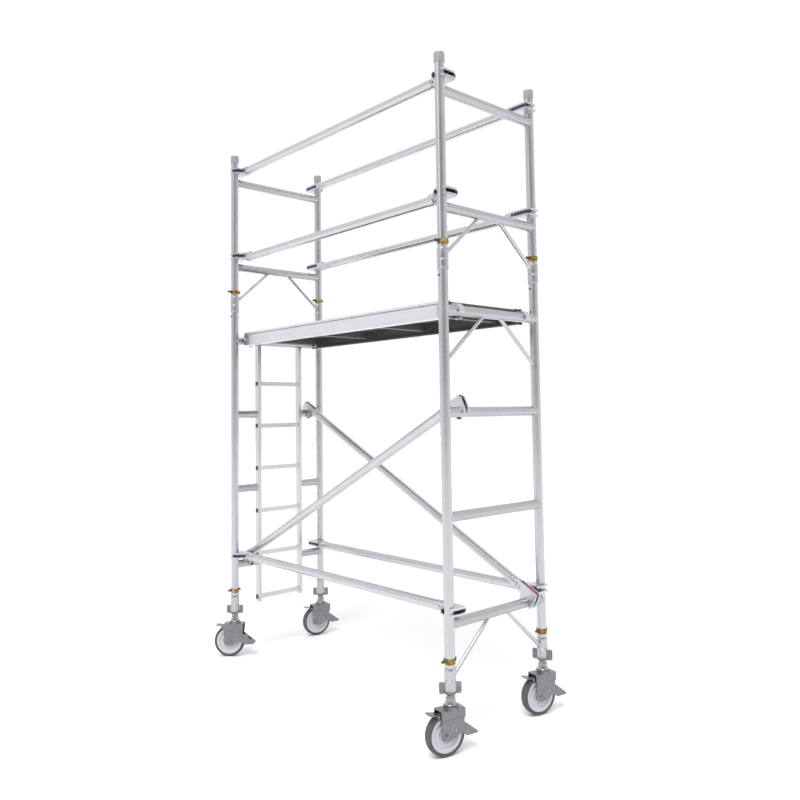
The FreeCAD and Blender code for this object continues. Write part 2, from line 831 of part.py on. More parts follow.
beam_top = rung_height(4) + "deck_rise"
beam_foot = beam_top - "beam_height"
beam_end = half_span - "beam_end_gap"
beam_inside = dim("deck_half_width") - "beam_flange"
board_top = beam_top - "board_drop"
board_foot = board_top - "board_thickness"
CROSS_BEAMS = [-(dim("hatch_beam") + dim("cross_pitch")) + dim("cross_pitch") * number
               for number in range(4)]
hatch_low = CROSS_BEAMS[0] + dim("cross_width") / 2 - "hatch_rest"
hatch_high = CROSS_BEAMS[1] - dim("cross_width") / 2 + "hatch_rest"


def mirrored_y(low, high):
    """A box's corners, and the same box on the other side of the tower's middle."""
    return [(low, high), ((low[0], -dim(high[1]), low[2]), (high[0], -dim(low[1]), high[2]))]


def make_side_beams():
    """Channels with turned-in lips and a shallow bead along the web."""
    wall, outside = dim("beam_wall"), dim("deck_half_width")
    parts = []
    parts += mirrored_y((-beam_end, outside - wall, beam_foot), (beam_end, outside, beam_top))
    for low, high in ((beam_foot, beam_foot + wall), (beam_top - wall, beam_top)):
        parts += mirrored_y((-beam_end, beam_inside, low), (beam_end, outside, high))
    for low, high in ((beam_foot, beam_foot + "beam_lip"), (beam_top - "beam_lip", beam_top)):
        parts += mirrored_y((-beam_end, beam_inside, low), (beam_end, beam_inside + wall, high))
    bead = dim("beam_bead")
    middle = beam_foot + dim("beam_height") / 2
    grooves = mirrored_y((-beam_end, outside - bead / 2, middle - bead),
                         (beam_end, outside, middle + bead))
    solid = fuse("beam_solid", [box("beam_part_%d" % number, low, high)
                                for number, (low, high) in enumerate(parts)])
    finish(cut("beams", solid, boxes("beam_groove", grooves)), "platform_side_beams")


def make_cross_beams():
    """Box tubes under the board, each end on a foot that hooks under a side beam."""
    half, wall = dim("cross_width") / 2, dim("cross_wall")
    foot_inside = dim("deck_half_width") - "cross_foot"
    tube_foot = board_foot - "cross_height"
    low_plate = beam_foot - "cross_below"
    tubes_out, tubes_in, feet = [], [], []
    for place_x in CROSS_BEAMS:
        tubes_out.append(((place_x - half, -beam_inside, tube_foot),
                          (place_x + half, beam_inside, board_foot)))
        tubes_in.append(((place_x - half + wall, -beam_inside - 1, tube_foot + wall),
                         (place_x + half - wall, beam_inside + 1, board_foot - wall)))
        feet += mirrored_y((place_x - half, foot_inside, low_plate),
                           (place_x + half, beam_inside, tube_foot))
        feet += mirrored_y((place_x - half, foot_inside, low_plate),
                           (place_x + half, dim("deck_half_width"), beam_foot))
    hollow = cut("cross_tubes", boxes("cross_outside", tubes_out), boxes("cross_bore", tubes_in))
    finish(fuse("crosses", [hollow] + [box("cross_foot_%d" % number, low, high)
                                       for number, (low, high) in enumerate(feet)]),
           "platform_cross_beams")


def make_board_and_door():
    edge = beam_inside - "board_clearance"
    half = dim("hatch_half_width")
    plain = box("board_plain", (hatch_high, -edge, board_foot), (beam_end, edge, board_top))
    around = box("board_around", (-beam_end, -edge, board_foot),
                 (hatch_high - "board_joint", edge, board_top))
    hatch = box("board_hatch", (hatch_low, -half, board_foot - 1), (hatch_high, half, board_top + 1))
    finish(group("boards", [plain, cut("board_with_hatch", around, hatch)]), "deck_board")

    gap, lift = dim("hatch_gap"), dim("door_lift")
    door = box("door_panel", (hatch_low + gap, -half + gap, board_foot + lift),
               (hatch_high - gap, half - gap, board_top + lift))
    finish(door, "trapdoor")


def hinge_leaves(name, shift, side, foot, extra_bore):
    """Two hinge leaves with knuckles, shifted along X, on one side of the hatch's back edge."""
    middle = (hatch_low + hatch_high) / 2
    axis_y = dim("hatch_half_width") - dim("hatch_gap") / 2
    axis_z = board_top + "hinge_rise"
    length = dim("hinge_length")
    leaves, knuckles = [], []
    for sign in (RIGHT, LEFT):
        start = middle + dim("hinge_place") * sign + shift
        low_y, high_y = axis_y, axis_y + dim("leaf_width")
        if side == FRONT:
            low_y, high_y = axis_y - dim("leaf_width"), axis_y
        leaves.append(((start, low_y, foot), (start + length, high_y, board_top + "leaf_thickness")))
        knuckles.append(((start, axis_y, axis_z), ALONG_X, length))
    item = fuse(name + "_plates", [boxes(name + "_leaves", leaves),
                                   cylinders(name + "_knuckles", "hinge_radius", knuckles)])
    bore = dim("hinge_pin_radius") + extra_bore
    return cut(name, item, cylinders(name + "_bore", bore, knuckles)), knuckles


def hook(name, side):
    """Cast hook over a rung, its tail along the side beam; its mouth opens downwards."""
    body = new_body(name)
    bore = dim("rung_radius") + "hook_clearance"
    outer = bore + "hook_wall"
    depth, lip = dim("hook_depth"), dim("hook_lip")
    tail = dim("beam_end_gap") + "hook_tail"
    crown = board_foot - rung_height(4)
    plan = sketch_on(body, name + "_plan", "XZ_Plane")
    ends = [
        (-tail, crown - 6), (-tail, crown - 22), (-tail + 22, -depth), (-bore - 12, -depth),
        (-bore, -depth + 4), (-bore, 0), (0, 0), (bore, 0), (bore, -lip), (outer - 4, -lip),
        (outer, -lip + 5), (outer, 8), (outer * 0.82, outer * 0.57), (outer * 0.42, outer * 0.9),
        (0, crown - 0.6), (-tail + 6, crown - 0.6),
    ]
    outline(plan, [(across * side, up) for across, up in map(lambda p: (dim(p[0]), p[1]), ends)])
    pad(body, plan, dim("hook_width"), both_ways=True)
    seat = sketch_on(body, name + "_seat", "XZ_Plane")
    circle(seat, 0, 0, bore)
    pocket(body, seat)
    return body


def make_platform_fittings():
    """Four hooks with the wind locks' pins, and the hatch hinges' fixed leaves with pins."""
    members = []
    place_y = beam_inside - dim("hook_width") / 2
    for side_name, side in (("right", RIGHT), ("left", LEFT)):
        for depth_name, depth in (("front", FRONT), ("back", BACK)):
            name = "hook_%s_%s" % (side_name, depth_name)
            casting = hook(name, side)
            place(casting, (half_span * side, place_y * depth, rung_height(4)))
            members.append(casting)
    face = beam_inside - "hook_width"
    pin_length = dim("lock_gap") * 2 + "lock_thickness"
    for name, side, depth in LOCKS:
        pin_x = (half_span - "lock_reach") * side
        start = -face if depth == FRONT else face - pin_length
        members.append(cylinder("pin_" + name, "lock_pin_radius", pin_length,
                                (pin_x, start, rung_height(4) - "lock_drop"), ALONG_Y))
        edge = -face + pin_length if depth == FRONT else face - pin_length - 2
        members.append(cylinder("head_" + name, dim("lock_pin_radius") + 3, 2,
                                (pin_x, edge, rung_height(4) - "lock_drop"), ALONG_Y))
    fixed, knuckles = hinge_leaves("hatch_hinge", dim(0), BACK, board_top, 0)
    half_gap = dim("hinge_gap") * 2 + dim("hinge_length") * 2
    pins = [((start[0], start[1], start[2]), turn, half_gap) for start, turn, length in knuckles]
    members += [fixed, cylinders("hatch_pins", "hinge_pin_radius", pins)]
    finish(group("fittings", members), "platform_fittings")

    moving, _ = hinge_leaves("door_hinge", dim("hinge_length") + "hinge_gap", FRONT,
                             board_top + "door_lift", "hinge_pin_clearance")
    finish(moving, "trapdoor_hinges")


LOCKS = (("wind_lock_right", RIGHT, FRONT), ("wind_lock_left", LEFT, FRONT))


def make_wind_locks():
    """Spring latches that swing under the rung beside a hook."""
    face = beam_inside - "hook_width"
    inset = face - "lock_gap" - dim("lock_thickness") / 2
    below = dim("lock_drop") - dim("rung_radius") - 4
    for name, side, depth in LOCKS:
        body = new_body(name)
        plan = sketch_on(body, name + "_plan", "XZ_Plane")
        corners = [
            (-9, 6), (-3, 9), (4, 8), (8, 1), (8, -10), (20, below + 1), (40, below - 2),
            (48, below - 4), (42, below - 12), (4, below - 12), (-8, below),
        ]
        outline(plan, [(dim(across) * side, up) for across, up in corners])
        pad(body, plan, "lock_thickness", both_ways=True)
        hole = sketch_on(body, name + "_hole", "XZ_Plane")
        circle(hole, 0, 0, dim("lock_pin_radius") + "lock_pin_clearance")
        pocket(body, hole)
        place(body, ((half_span - "lock_reach") * side, inset * depth,
                     rung_height(4) - "lock_drop"))
        finish(body, name)


# ---------------------------------------------------------------- legs and castors

# Rest turn of each castor's swivel and of each wing nut, in degrees about +Z.
CASTOR_TURNS = {"right_front": 76, "right_back": 76, "left_front": 45, "left_back": 76}
NUT_TURNS = {"right_front": 55, "right_back": 20, "left_front": 48, "left_back": 48}

flare_foot = dim("fork_top") + "bearing_height"


def leg_stem(name):
    """Leg tube with a flared foot and the castor's king pin under it."""
    body = new_body(name)
    radius, foot = dim("leg_radius"), flare_foot
    neck = foot + "flare_height"
    top = dim("base_height") + "leg_rise"
    bore = radius - "leg_wall"
    pin = dim("stem_radius")
    head = dim("fork_top") - "fork_wall" - "bearing_gap"
    plan = sketch_on(body, name + "_profile", "XZ_Plane")
    outline(plan, [
        (0, foot - "stem_height"), (pin + 5, foot - "stem_height"), (pin + 5, head), (pin, head),
        (pin, foot), (dim("flare_radius") - 2, foot), ("flare_radius", foot + 2),
        ("flare_radius", foot + "flare_skirt"), ("flare_neck", neck), (radius, neck),
        (radius, top), (bore, top), (bore, neck), (0, neck),
    ])
    revolve(body, plan, "V_Axis")
    return body


def wing_nut(name):
    """Nut under the post with two flat wings that rise beside the sleeve."""
    body = new_body(name)
    top = dim("base_height") - "nut_gap"
    foot = top - "nut_height"
    bore = dim("leg_radius") + "nut_clearance"
    plan = sketch_on(body, name + "_ring", "XZ_Plane")
    outline(plan, [
        (bore, foot), ("nut_foot", foot), ("nut_radius", foot + 8), ("nut_radius", top),
        (bore, top),
    ])
    revolve(body, plan, "V_Axis")
    wings = sketch_on(body, name + "_wings", "XZ_Plane")
    inner = dim("sleeve_radius") + "wing_clearance"
    reach = dim("wing_reach")
    crest = dim("base_height") + "wing_rise"
    for side in (RIGHT, LEFT):
        corners = [
            (dim("nut_radius") - 4, foot + 4), (reach - 6, foot + 4), (reach, foot + 10),
            (reach, crest - 4), (reach - 4, crest), (inner, crest), (inner, top),
            (dim("nut_radius") - 4, top),
        ]
        outline(wings, [(across * side, up) for across, up in corners])
    pad(body, wings, "wing_thickness", both_ways=True)
    return body


def castor_fork(name):
    """Pressed channel over the wheel, its bearing on top, with axle and lever rivets."""
    body = new_body(name)
    tail, nose = -dim("fork_tail"), dim("fork_nose")
    half, wall = dim("fork_half_width"), dim("fork_wall")
    crease, top, foot = dim("fork_crease"), dim("fork_top"), dim("fork_foot")
    axle_x, axle_z = -dim("castor_trail"), dim("wheel_radius")
    plan = sketch_on(body, name + "_side", "XZ_Plane")
    outline(plan, [
        (tail, top), (nose, top), (nose, crease), (nose - 5, crease - 4), (nose - 5, 118),
        (20, 92), (-10, foot), (tail + 22, foot), (tail + 3, foot + 6), (tail + 3, crease),
        (tail, crease + 4),
    ])
    pad(body, plan, half * 2, both_ways=True)

    inside = sketch_on(body, name + "_inside", "YZ_Plane")
    low_half = half - "fork_step"
    outline(inside, [
        (-low_half + wall, 0), (low_half - wall, 0), (low_half - wall, crease),
        (half - wall, crease + 3), (half - wall, top - wall), (-half + wall, top - wall),
        (-half + wall, crease + 3), (-low_half + wall, crease),
    ])
    pocket(body, inside)
    outside = sketch_on(body, name + "_step", "YZ_Plane")
    for side in (RIGHT, LEFT):
        outline(outside, [
            (low_half * side, 0), ((half + 5) * side, 0), ((half + 5) * side, crease + 3),
            (half * side, crease + 3), (low_half * side, crease),
        ])
    pocket(body, outside)

    bearing = sketch_on(body, name + "_bearing", "XY_Plane", top - 1)
    circle(bearing, 0, 0, "bearing_radius")
    pad(body, bearing, dim("bearing_height") + 1 - "bearing_gap")
    bore = sketch_on(body, name + "_bore", "XY_Plane", top + "bearing_height")
    circle(bore, 0, 0, dim("stem_radius") + "stem_clearance")
    pocket(body, bore, (dim("bearing_height") + wall + 4) * 2)
    for side, normal in ((RIGHT, "right"), (LEFT, "left")):
        face = low_half * side
        gap = dim("wheel_width") / 2 + dim("cheek_gap") / 2
        rivet = sketch_on(body, "%s_rivet_%s" % (name, normal), "XZ_Plane", gap * side)
        circle(rivet, "lever_pivot", "lever_height", "lever_pin_radius")
        pad(body, rivet, (low_half - gap + 2) * side)
        head = sketch_on(body, "%s_head_%s" % (name, normal), "XZ_Plane", (face - side))
        circle(head, axle_x, axle_z, "axle_head")
        pad(body, head, (dim("axle_head_height") + 1) * side)
    axle = sketch_on(body, name + "_axle", "XZ_Plane")
    circle(axle, axle_x, axle_z, "axle_radius")
    pad(body, axle, low_half * 2, both_ways=True)
    return body


def wheel_part(name, profile):
    """A profile of (radius, half width) pairs turned about the wheel's axle."""
    body = new_body(name)
    plan = sketch_on(body, name + "_profile", "YZ_Plane")
    outline(plan, profile)
    revolve(body, plan, "H_Axis")
    return body


def ring_profile(steps):
    """A closed outline from one side of a ring's width to the other."""
    right = [(dim(half), radius) for radius, half in steps]
    left = [(-half, radius) for half, radius in reversed(right)]
    return right + left


def wheel_hub(name):
    rim = dim("wheel_radius") - "tyre_depth"
    bore = dim("axle_radius") + "axle_clearance"
    half = dim("wheel_width") / 2
    return wheel_part(name, ring_profile([
        (bore, half + 4), (dim("axle_radius") + 12, half + 4), (dim("axle_radius") + 14, half - 9),
        (40, half - 12), (44, half - 9), (49, half - 9), (53, half - 13), (rim - 17, half - 13),
        (rim - 12, half - 4), (rim - 3, half - 3), (rim, half - 5),
    ]))


def tyre(name):
    radius, depth = dim("wheel_radius"), dim("tyre_depth")
    half = dim("wheel_width") / 2
    return wheel_part(name, ring_profile([
        (radius - depth, half - 3), (radius - depth + 4, half), (radius - 6, half),
        (radius - 2, half - 5), (radius, half - 13),
    ]))


def brake_lever(name):
    """Rocker with a pedal in front, a release tab behind and a bar that grips the tyre."""
    body = new_body(name)
    half = dim("lever_half_width")
    cheek = half - "cheek_wall"
    bar_x, bar_z = dim("brake_bar_place"), dim("brake_bar_height")
    cheeks = sketch_on(body, name + "_cheeks", "XZ_Plane")
    outline(cheeks, [
        (-84, 197), (-70, 196), (0, 180), (62, 144), (130, 92), (131, 82), (bar_x, bar_z - 8),
        (52, 92), ("lever_pivot", dim("lever_height") - 13), (-12, 128), (-62, 168), (-86, 189),
    ])
    pad(body, cheeks, half * 2, both_ways=True)
    inside = sketch_on(body, name + "_inside", "XY_Plane")
    outline(inside, [(-150, -cheek), (150, -cheek), (150, cheek), (-150, cheek)])
    pocket(body, inside)
    plates = sketch_on(body, name + "_plates", "XZ_Plane")
    outline(plates, [(65, 136), (68, 139.5), (130, 92), (134, 85), (130, 80), (125, 86)])
    outline(plates, [(-78, 193.5), (-78, 196.5), (-118, 204), (-126, 201), (-118, 200.5)])
    pad(body, plates, half * 2 - 1, both_ways=True)
    bar = sketch_on(body, name + "_bar", "XZ_Plane")
    circle(bar, bar_x, bar_z, "brake_bar_radius")
    pad(body, bar, cheek * 2 + 2, both_ways=True)
    window = sketch_on(body, name + "_window", "XY_Plane", 90)
    outline(window, [(88, -12), (110, -12), (110, 12), (88, 12)])
    pocket(body, window, 100)
    holes = sketch_on(body, name + "_holes", "XZ_Plane")
    circle(holes, "lever_pivot", "lever_height", dim("lever_pin_radius") + "lever_pin_clearance")
    pocket(body, holes)
    return body


def make_corners():
    for corner, (side, depth) in CORNERS.items():
        post = (half_span * side, half_width * depth, 0)
        turn = FreeCAD.Rotation(V(0, 0, 1), CASTOR_TURNS[corner])
        trail = dim("castor_trail")
        angle = math.radians(CASTOR_TURNS[corner])
        axle = (post[0] - trail * math.cos(angle), post[1] - trail * math.sin(angle),
                dim("wheel_radius"))
        nut_turn = FreeCAD.Rotation(V(0, 0, 1), NUT_TURNS[corner])
        for make, kind, spot, rotation in (
                (leg_stem, "leg_stem", post, None),
                (wing_nut, "wing_nut", post, nut_turn),
                (castor_fork, "castor_fork", post, turn),
                (brake_lever, "brake_lever", post, turn),
                (wheel_hub, "wheel_hub", axle, turn),
                (tyre, "tyre", axle, turn)):
            label = "%s_%s" % (kind, corner)
            item = make(label + "_body")
            place(item, spot, rotation)
            finish(item, label)


# ---------------------------------------------------------------- build and export

solid_posts = make_posts_and_rungs()
make_knee_braces(solid_posts)
make_ladder()
make_caps()
make_interlock_clips()
make_brace_tubes()
make_claws()
make_side_beams()
make_cross_beams()
make_board_and_door()
make_platform_fittings()
make_wind_locks()
make_corners()
doc.recompute()

for item in doc.Objects:
    if "Invalid" in item.State or "Error" in item.State:
        raise RuntimeError("%s did not recompute" % item.Name)
for item in SUBPARTS:
    if item.Shape.isNull() or not item.Shape.isValid():
        raise RuntimeError("%s has no valid shape" % item.Label)
    item.Shape.exportStep("parts/%s.step" % item.Label)
print("%d sub-parts" % len(SUBPARTS))
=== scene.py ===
# %% [markdown]
# # A mobile scaffold tower, dressed for the studio
# The tower's moving model comes from the design program with every part in its place.
# This lesson gives those parts their real surfaces: drawn aluminium tube with its lengthwise
# flutes, weld beads, zinc plate, rubber, nylon and film-faced plywood. New pieces are worked
# out as numpy grids, so every shape is a formula that can be read and changed.

# %% Load the fixed frame
import json
import math

import bmesh
import bpy
import numpy as np
from mathutils import Matrix, Vector


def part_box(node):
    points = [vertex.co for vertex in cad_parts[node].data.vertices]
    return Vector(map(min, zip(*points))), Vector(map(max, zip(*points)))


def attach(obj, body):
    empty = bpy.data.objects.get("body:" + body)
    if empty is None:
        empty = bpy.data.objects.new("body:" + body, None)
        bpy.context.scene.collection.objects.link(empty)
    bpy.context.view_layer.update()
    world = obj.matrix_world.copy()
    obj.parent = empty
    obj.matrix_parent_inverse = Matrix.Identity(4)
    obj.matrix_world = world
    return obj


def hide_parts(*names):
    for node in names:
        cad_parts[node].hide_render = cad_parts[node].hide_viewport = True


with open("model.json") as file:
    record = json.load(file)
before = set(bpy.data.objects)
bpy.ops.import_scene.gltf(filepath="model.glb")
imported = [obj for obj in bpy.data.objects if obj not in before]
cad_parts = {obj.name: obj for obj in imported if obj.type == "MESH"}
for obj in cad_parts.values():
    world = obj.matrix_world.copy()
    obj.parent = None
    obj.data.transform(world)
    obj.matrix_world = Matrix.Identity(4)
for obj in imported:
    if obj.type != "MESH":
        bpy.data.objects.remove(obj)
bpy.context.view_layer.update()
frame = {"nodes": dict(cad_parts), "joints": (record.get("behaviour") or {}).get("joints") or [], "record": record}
BODY_OF = {node: body
           for body, nodes in frame["record"]["behaviour"]["bodies"].items()
           for node in nodes}
SLOT_OF = {part["node"]: part["material_slot"] for part in frame["record"]["subparts"]}

# %% [markdown]
# ## Where things are
# Every place is read from the model's own boxes: the posts' axes, the rungs' heights, the
# wheels' centres. A piece built from them can't drift away from the part that it belongs to.

# %% Landmarks
TUBE = 0.025
low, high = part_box("frame_posts")
POST_X, POST_Y = high.x - TUBE, high.y - TUBE
POST_FOOT, POST_TOP = low.z, high.z
CORNERS = {"right_front": (1, -1), "right_back": (1, 1), "left_front": (-1, -1), "left_back": (-1, 1)}
rungs_low, rungs_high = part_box("frame_rungs")
FIRST_RUNG, TOP_RUNG = rungs_low.z + TUBE, rungs_high.z - TUBE
RUNG_PITCH = 0.5
RUNGS = [round(FIRST_RUNG + RUNG_PITCH * n, 4) for n in range(4)]
RAIL_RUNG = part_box("knee_braces")[1].z + 0.0099
sleeve_low, sleeve_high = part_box("post_sleeves")
SLEEVE_ENDS = (sleeve_low.z, sleeve_high.z - 0.108)
STILE_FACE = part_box("ladder_stiles")[1].y
print("posts", POST_X, POST_Y, "rungs", RUNGS, round(RAIL_RUNG, 4), round(TOP_RUNG, 4))

# %% [markdown]
# ## From a grid to a mesh
# A surface is a grid of points: rows run along a path, columns run round a section. Joining
# each point to its neighbours gives quads. The columns close on themselves, and a row that
# shrinks to a point closes an end, so the shell has no holes.

# %% Grid to mesh
def quads_of(rows, columns, start):
    """Corner numbers of every quad of a grid whose columns wrap round."""
    row, column = np.meshgrid(np.arange(rows - 1), np.arange(columns), indexing="ij")
    following = (column + 1) % columns
    corners = np.stack([row * columns + column, row * columns + following,
                        (row + 1) * columns + following, (row + 1) * columns + column], -1)
    return corners.reshape(-1, 4) + start


def piece(name, grids, slot, body, replaced=(), sharp=38.0):
    """One object from several wrapped grids: welded, turned outwards, smooth, riding a body."""
    points, faces, start = [], [], 0
    for grid in grids:
        rows, columns = grid.shape[:2]
        points.append(grid.reshape(-1, 3))
        faces.append(quads_of(rows, columns, start))
        start += rows * columns
    mesh = bpy.data.meshes.new(name)
    mesh.from_pydata(np.concatenate(points).tolist(), [], np.concatenate(faces).tolist())
    return settle(mesh, name, slot, body, replaced, sharp)


def settle(mesh, name, slot, body, replaced=(), sharp=38.0, weld=1e-6):
    """Weld doubles, point faces outwards, shade smooth with crisp edges, and ride a body."""
    work = bmesh.new()
    work.from_mesh(mesh)
    bmesh.ops.remove_doubles(work, verts=work.verts, dist=weld)
    bmesh.ops.dissolve_degenerate(work, edges=work.edges, dist=weld)
    bmesh.ops.recalc_face_normals(work, faces=work.faces)
    work.to_mesh(mesh)
    work.free()
    mesh.shade_smooth()
    mesh.set_sharp_from_angle(angle=math.radians(sharp))
    item = bpy.data.objects.new(name, mesh)
    bpy.context.scene.collection.objects.link(item)
    item.data.materials.append(FINISHES[slot])
    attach(item, body)
    if replaced:
        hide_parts(*replaced)
    return item


def turned(profile, centre, axis=(0, 0, 1), columns=48):
    """A solid of revolution: (radius, height) pairs carried round an axis through a centre."""
    profile = np.asarray(profile, float)
    axis = np.asarray(axis, float) / np.linalg.norm(axis)
    side = np.cross(axis, (0.0, 1.0, 0.0) if abs(axis[1]) < 0.9 else (1.0, 0.0, 0.0))
    side /= np.linalg.norm(side)
    other = np.cross(axis, side)
    angle = np.linspace(0, 2 * np.pi, columns, endpoint=False)
    ring = np.cos(angle)[:, None] * side + np.sin(angle)[:, None] * other
    return (np.asarray(centre, float) + profile[:, None, :1] * ring[None]
            + profile[:, None, 1:] * axis)


def rounded(profile, radius=0.001, steps=3):
    """Round a profile's corners: each corner becomes a short curve between its two edges."""
    profile = np.asarray(profile, float)
    out = [profile[0]]
    for before, corner, after in zip(profile[:-2], profile[1:-1], profile[2:]):
        back, ahead = before - corner, after - corner
        lengths = np.linalg.norm(back), np.linalg.norm(ahead)
        if min(lengths) < 1e-7:
            out.append(corner)
            continue
        reach = min(radius, lengths[0] * 0.45, lengths[1] * 0.45)
        start, end = corner + back / lengths[0] * reach, corner + ahead / lengths[1] * reach
        for share in np.linspace(0, 1, steps + 1):
            out.append((1 - share) ** 2 * start + 2 * share * (1 - share) * corner
                       + share ** 2 * end)
    out.append(profile[-1])
    return np.array(out)


# %% [markdown]
# ## Finishes
# Bare metal is never one colour. Drawn tube carries faint streaks along its length and dull
# patches where hands and clamps have been; zinc plate is cloudy and slightly blue; a casting
# is grainy. Each finish below mixes those patterns from noise in the object's own space, and
# the streaks are stretched by a Mapping node along the tube's direction.

# %% Finish helpers
FINISHES = {}


def new_material(name):
    """A material with its node tree, shader and an object-space coordinate."""
    material = bpy.data.materials.new(name)
    material.use_nodes = True
    nodes = material.node_tree.nodes
    shader = nodes["Principled BSDF"]
    place = nodes.new("ShaderNodeTexCoord")
    return material, nodes, material.node_tree.links, shader, place.outputs["Object"]


def stretched_noise(nodes, links, place, scale, detail=4.0, roughness=0.55):
    """Noise whose cells are stretched by a different scale along X, Y and Z."""
    mapping = nodes.new("ShaderNodeMapping")
    mapping.inputs["Scale"].default_value = scale
    links.new(place, mapping.inputs["Vector"])
    noise = nodes.new("ShaderNodeTexNoise")
    noise.inputs["Scale"].default_value = 1.0
    noise.inputs["Detail"].default_value = detail
    noise.inputs["Roughness"].default_value = roughness
    links.new(mapping.outputs["Vector"], noise.inputs["Vector"])
    return noise.outputs["Fac"]


def spread(nodes, links, value, low, high, low_in=0.3, high_in=0.7):
    """Map a noise value onto a range."""
    node = nodes.new("ShaderNodeMapRange")
    node.inputs["From Min"].default_value = low_in
    node.inputs["From Max"].default_value = high_in
    node.inputs["To Min"].default_value = low
    node.inputs["To Max"].default_value = high
    links.new(value, node.inputs["Value"])
    return node.outputs["Result"]


def blend_colours(nodes, links, value, first, second, third=None):
    """A colour ramp between two or three colours."""
    ramp = nodes.new("ShaderNodeValToRGB")
    ramp.color_ramp.elements[0].position = 0.3
    ramp.color_ramp.elements[0].color = (*first, 1)
    ramp.color_ramp.elements[1].position = 0.7
    ramp.color_ramp.elements[1].color = (*second, 1)
    if third:
        middle = ramp.color_ramp.elements.new(0.5)
        middle.color = (*third, 1)
    links.new(value, ramp.inputs["Fac"])
    return ramp.outputs["Color"]


def mixed(nodes, links, share, first, second, mode="MIX"):
    """Mix two colours by a share that may be a number or a pattern."""
    node = nodes.new("ShaderNodeMix")
    node.data_type = "RGBA"
    node.blend_type = mode
    if isinstance(share, float):
        node.inputs["Factor"].default_value = share
    else:
        links.new(share, node.inputs["Factor"])
    links.new(first, node.inputs[6])
    links.new(second, node.inputs[7])
    return node.outputs[2]


def bump(nodes, links, shader, height, strength, distance):
    """Bump the shader's normal by a height pattern."""
    node = nodes.new("ShaderNodeBump")
    node.inputs["Strength"].default_value = strength
    node.inputs["Distance"].default_value = distance
    links.new(height, node.inputs["Height"])
    links.new(node.outputs["Normal"], shader.inputs["Normal"])


def tint(colour, factor):
    return tuple(min(1.0, channel * factor) for channel in colour)


def metal(slot, colour, roughness, streak, grain=(300, 300, 300), patchy=0.10, metallic=1.0,
          relief=0.0):
    """Metal with streaks along one direction, soft patches, and a fine grain where it is cast."""
    material, nodes, links, shader, place = new_material(slot)
    streaks = stretched_noise(nodes, links, place, streak, 5.0, 0.6)
    patches = stretched_noise(nodes, links, place, (7, 7, 7), 3.0)
    by_streak = blend_colours(nodes, links, streaks, tint(colour, 0.93), tint(colour, 1.05))
    by_patch = blend_colours(nodes, links, patches, tint(colour, 1 - patchy), tint(colour, 1.04))
    links.new(mixed(nodes, links, 0.5, by_streak, by_patch), shader.inputs["Base Color"])
    rough = nodes.new("ShaderNodeMath")
    rough.operation = "ADD"
    links.new(spread(nodes, links, streaks, roughness - 0.02, roughness + 0.02), rough.inputs[0])
    links.new(spread(nodes, links, patches, -0.02, 0.04), rough.inputs[1])
    links.new(rough.outputs[0], shader.inputs["Roughness"])
    shader.inputs["Metallic"].default_value = metallic
    if relief:
        fine = stretched_noise(nodes, links, place, grain, 2.0)
        bump(nodes, links, shader, fine, relief, 0.0003)
    FINISHES[slot] = material
    return material


# %% [markdown]
# Aluminium first. One alloy, but each kind of part is drawn or cast in its own direction, so
# each gets its own streaks: posts upwards, rungs across the tower, braces along it.

# %% Aluminium finishes
ALUMINIUM = (0.56, 0.565, 0.585)
metal("tube_aluminium", ALUMINIUM, 0.27, (130, 130, 1.5))
metal("sleeve_aluminium", tint(ALUMINIUM, 0.92), 0.28, (130, 130, 6))
metal("rung_aluminium", tint(ALUMINIUM, 0.88), 0.34, (130, 1.5, 130))
metal("ladder_aluminium", tint(ALUMINIUM, 1.12), 0.33, (120, 120, 2))
metal("brace_aluminium", tint(ALUMINIUM, 1.05), 0.25, (1.5, 130, 130))
metal("beam_aluminium", tint(ALUMINIUM, 1.28), 0.36, (1.2, 110, 110), patchy=0.06)
# Painted shade: cross_aluminium is a dark, half-metallic grey that stands in for the shade under the board; it
# dresses the cross tubes and the channel linings.
metal("cross_aluminium", (0.13, 0.13, 0.135), 0.55, (110, 2, 110), metallic=0.5)
metal("cast_aluminium", (0.62, 0.625, 0.64), 0.36, (60, 60, 60), grain=(220, 220, 220),
      patchy=0.16, relief=0.10)
metal("cap_plastic", (0.40, 0.40, 0.41), 0.42, (200, 200, 8), metallic=0.45)

# %% [markdown]
# Zinc plate is a thin bright skin on steel. It is cloudier than aluminium and takes a blue or
# a gold cast from its passivation bath, in slow patches that follow how the part drained.

# %% Zinc finishes
def zinc(slot, cool, warm, dark, roughness):
    """Plated steel: three tones in cloudy patches, crossed by small crystal cells."""
    material, nodes, links, shader, place = new_material(slot)
    clouds = stretched_noise(nodes, links, place, (26, 26, 26), 5.0, 0.6)
    mapping = nodes.new("ShaderNodeMapping")
    mapping.inputs["Scale"].default_value = (190, 190, 190)
    links.new(place, mapping.inputs["Vector"])
    cells = nodes.new("ShaderNodeTexVoronoi")
    cells.inputs["Scale"].default_value = 1.0
    links.new(mapping.outputs["Vector"], cells.inputs["Vector"])
    base = blend_colours(nodes, links, clouds, cool, warm, dark)
    speckle = nodes.new("ShaderNodeHueSaturation")
    links.new(base, speckle.inputs["Color"])
    links.new(spread(nodes, links, cells.outputs["Distance"], 0.9, 1.08, 0.0, 0.8),
              speckle.inputs["Value"])
    links.new(speckle.outputs["Color"], shader.inputs["Base Color"])
    links.new(spread(nodes, links, clouds, roughness - 0.07, roughness + 0.10),
              shader.inputs["Roughness"])
    shader.inputs["Metallic"].default_value = 1.0
    bump(nodes, links, shader, clouds, 0.05, 0.0006)
    FINISHES[slot] = material
    return material


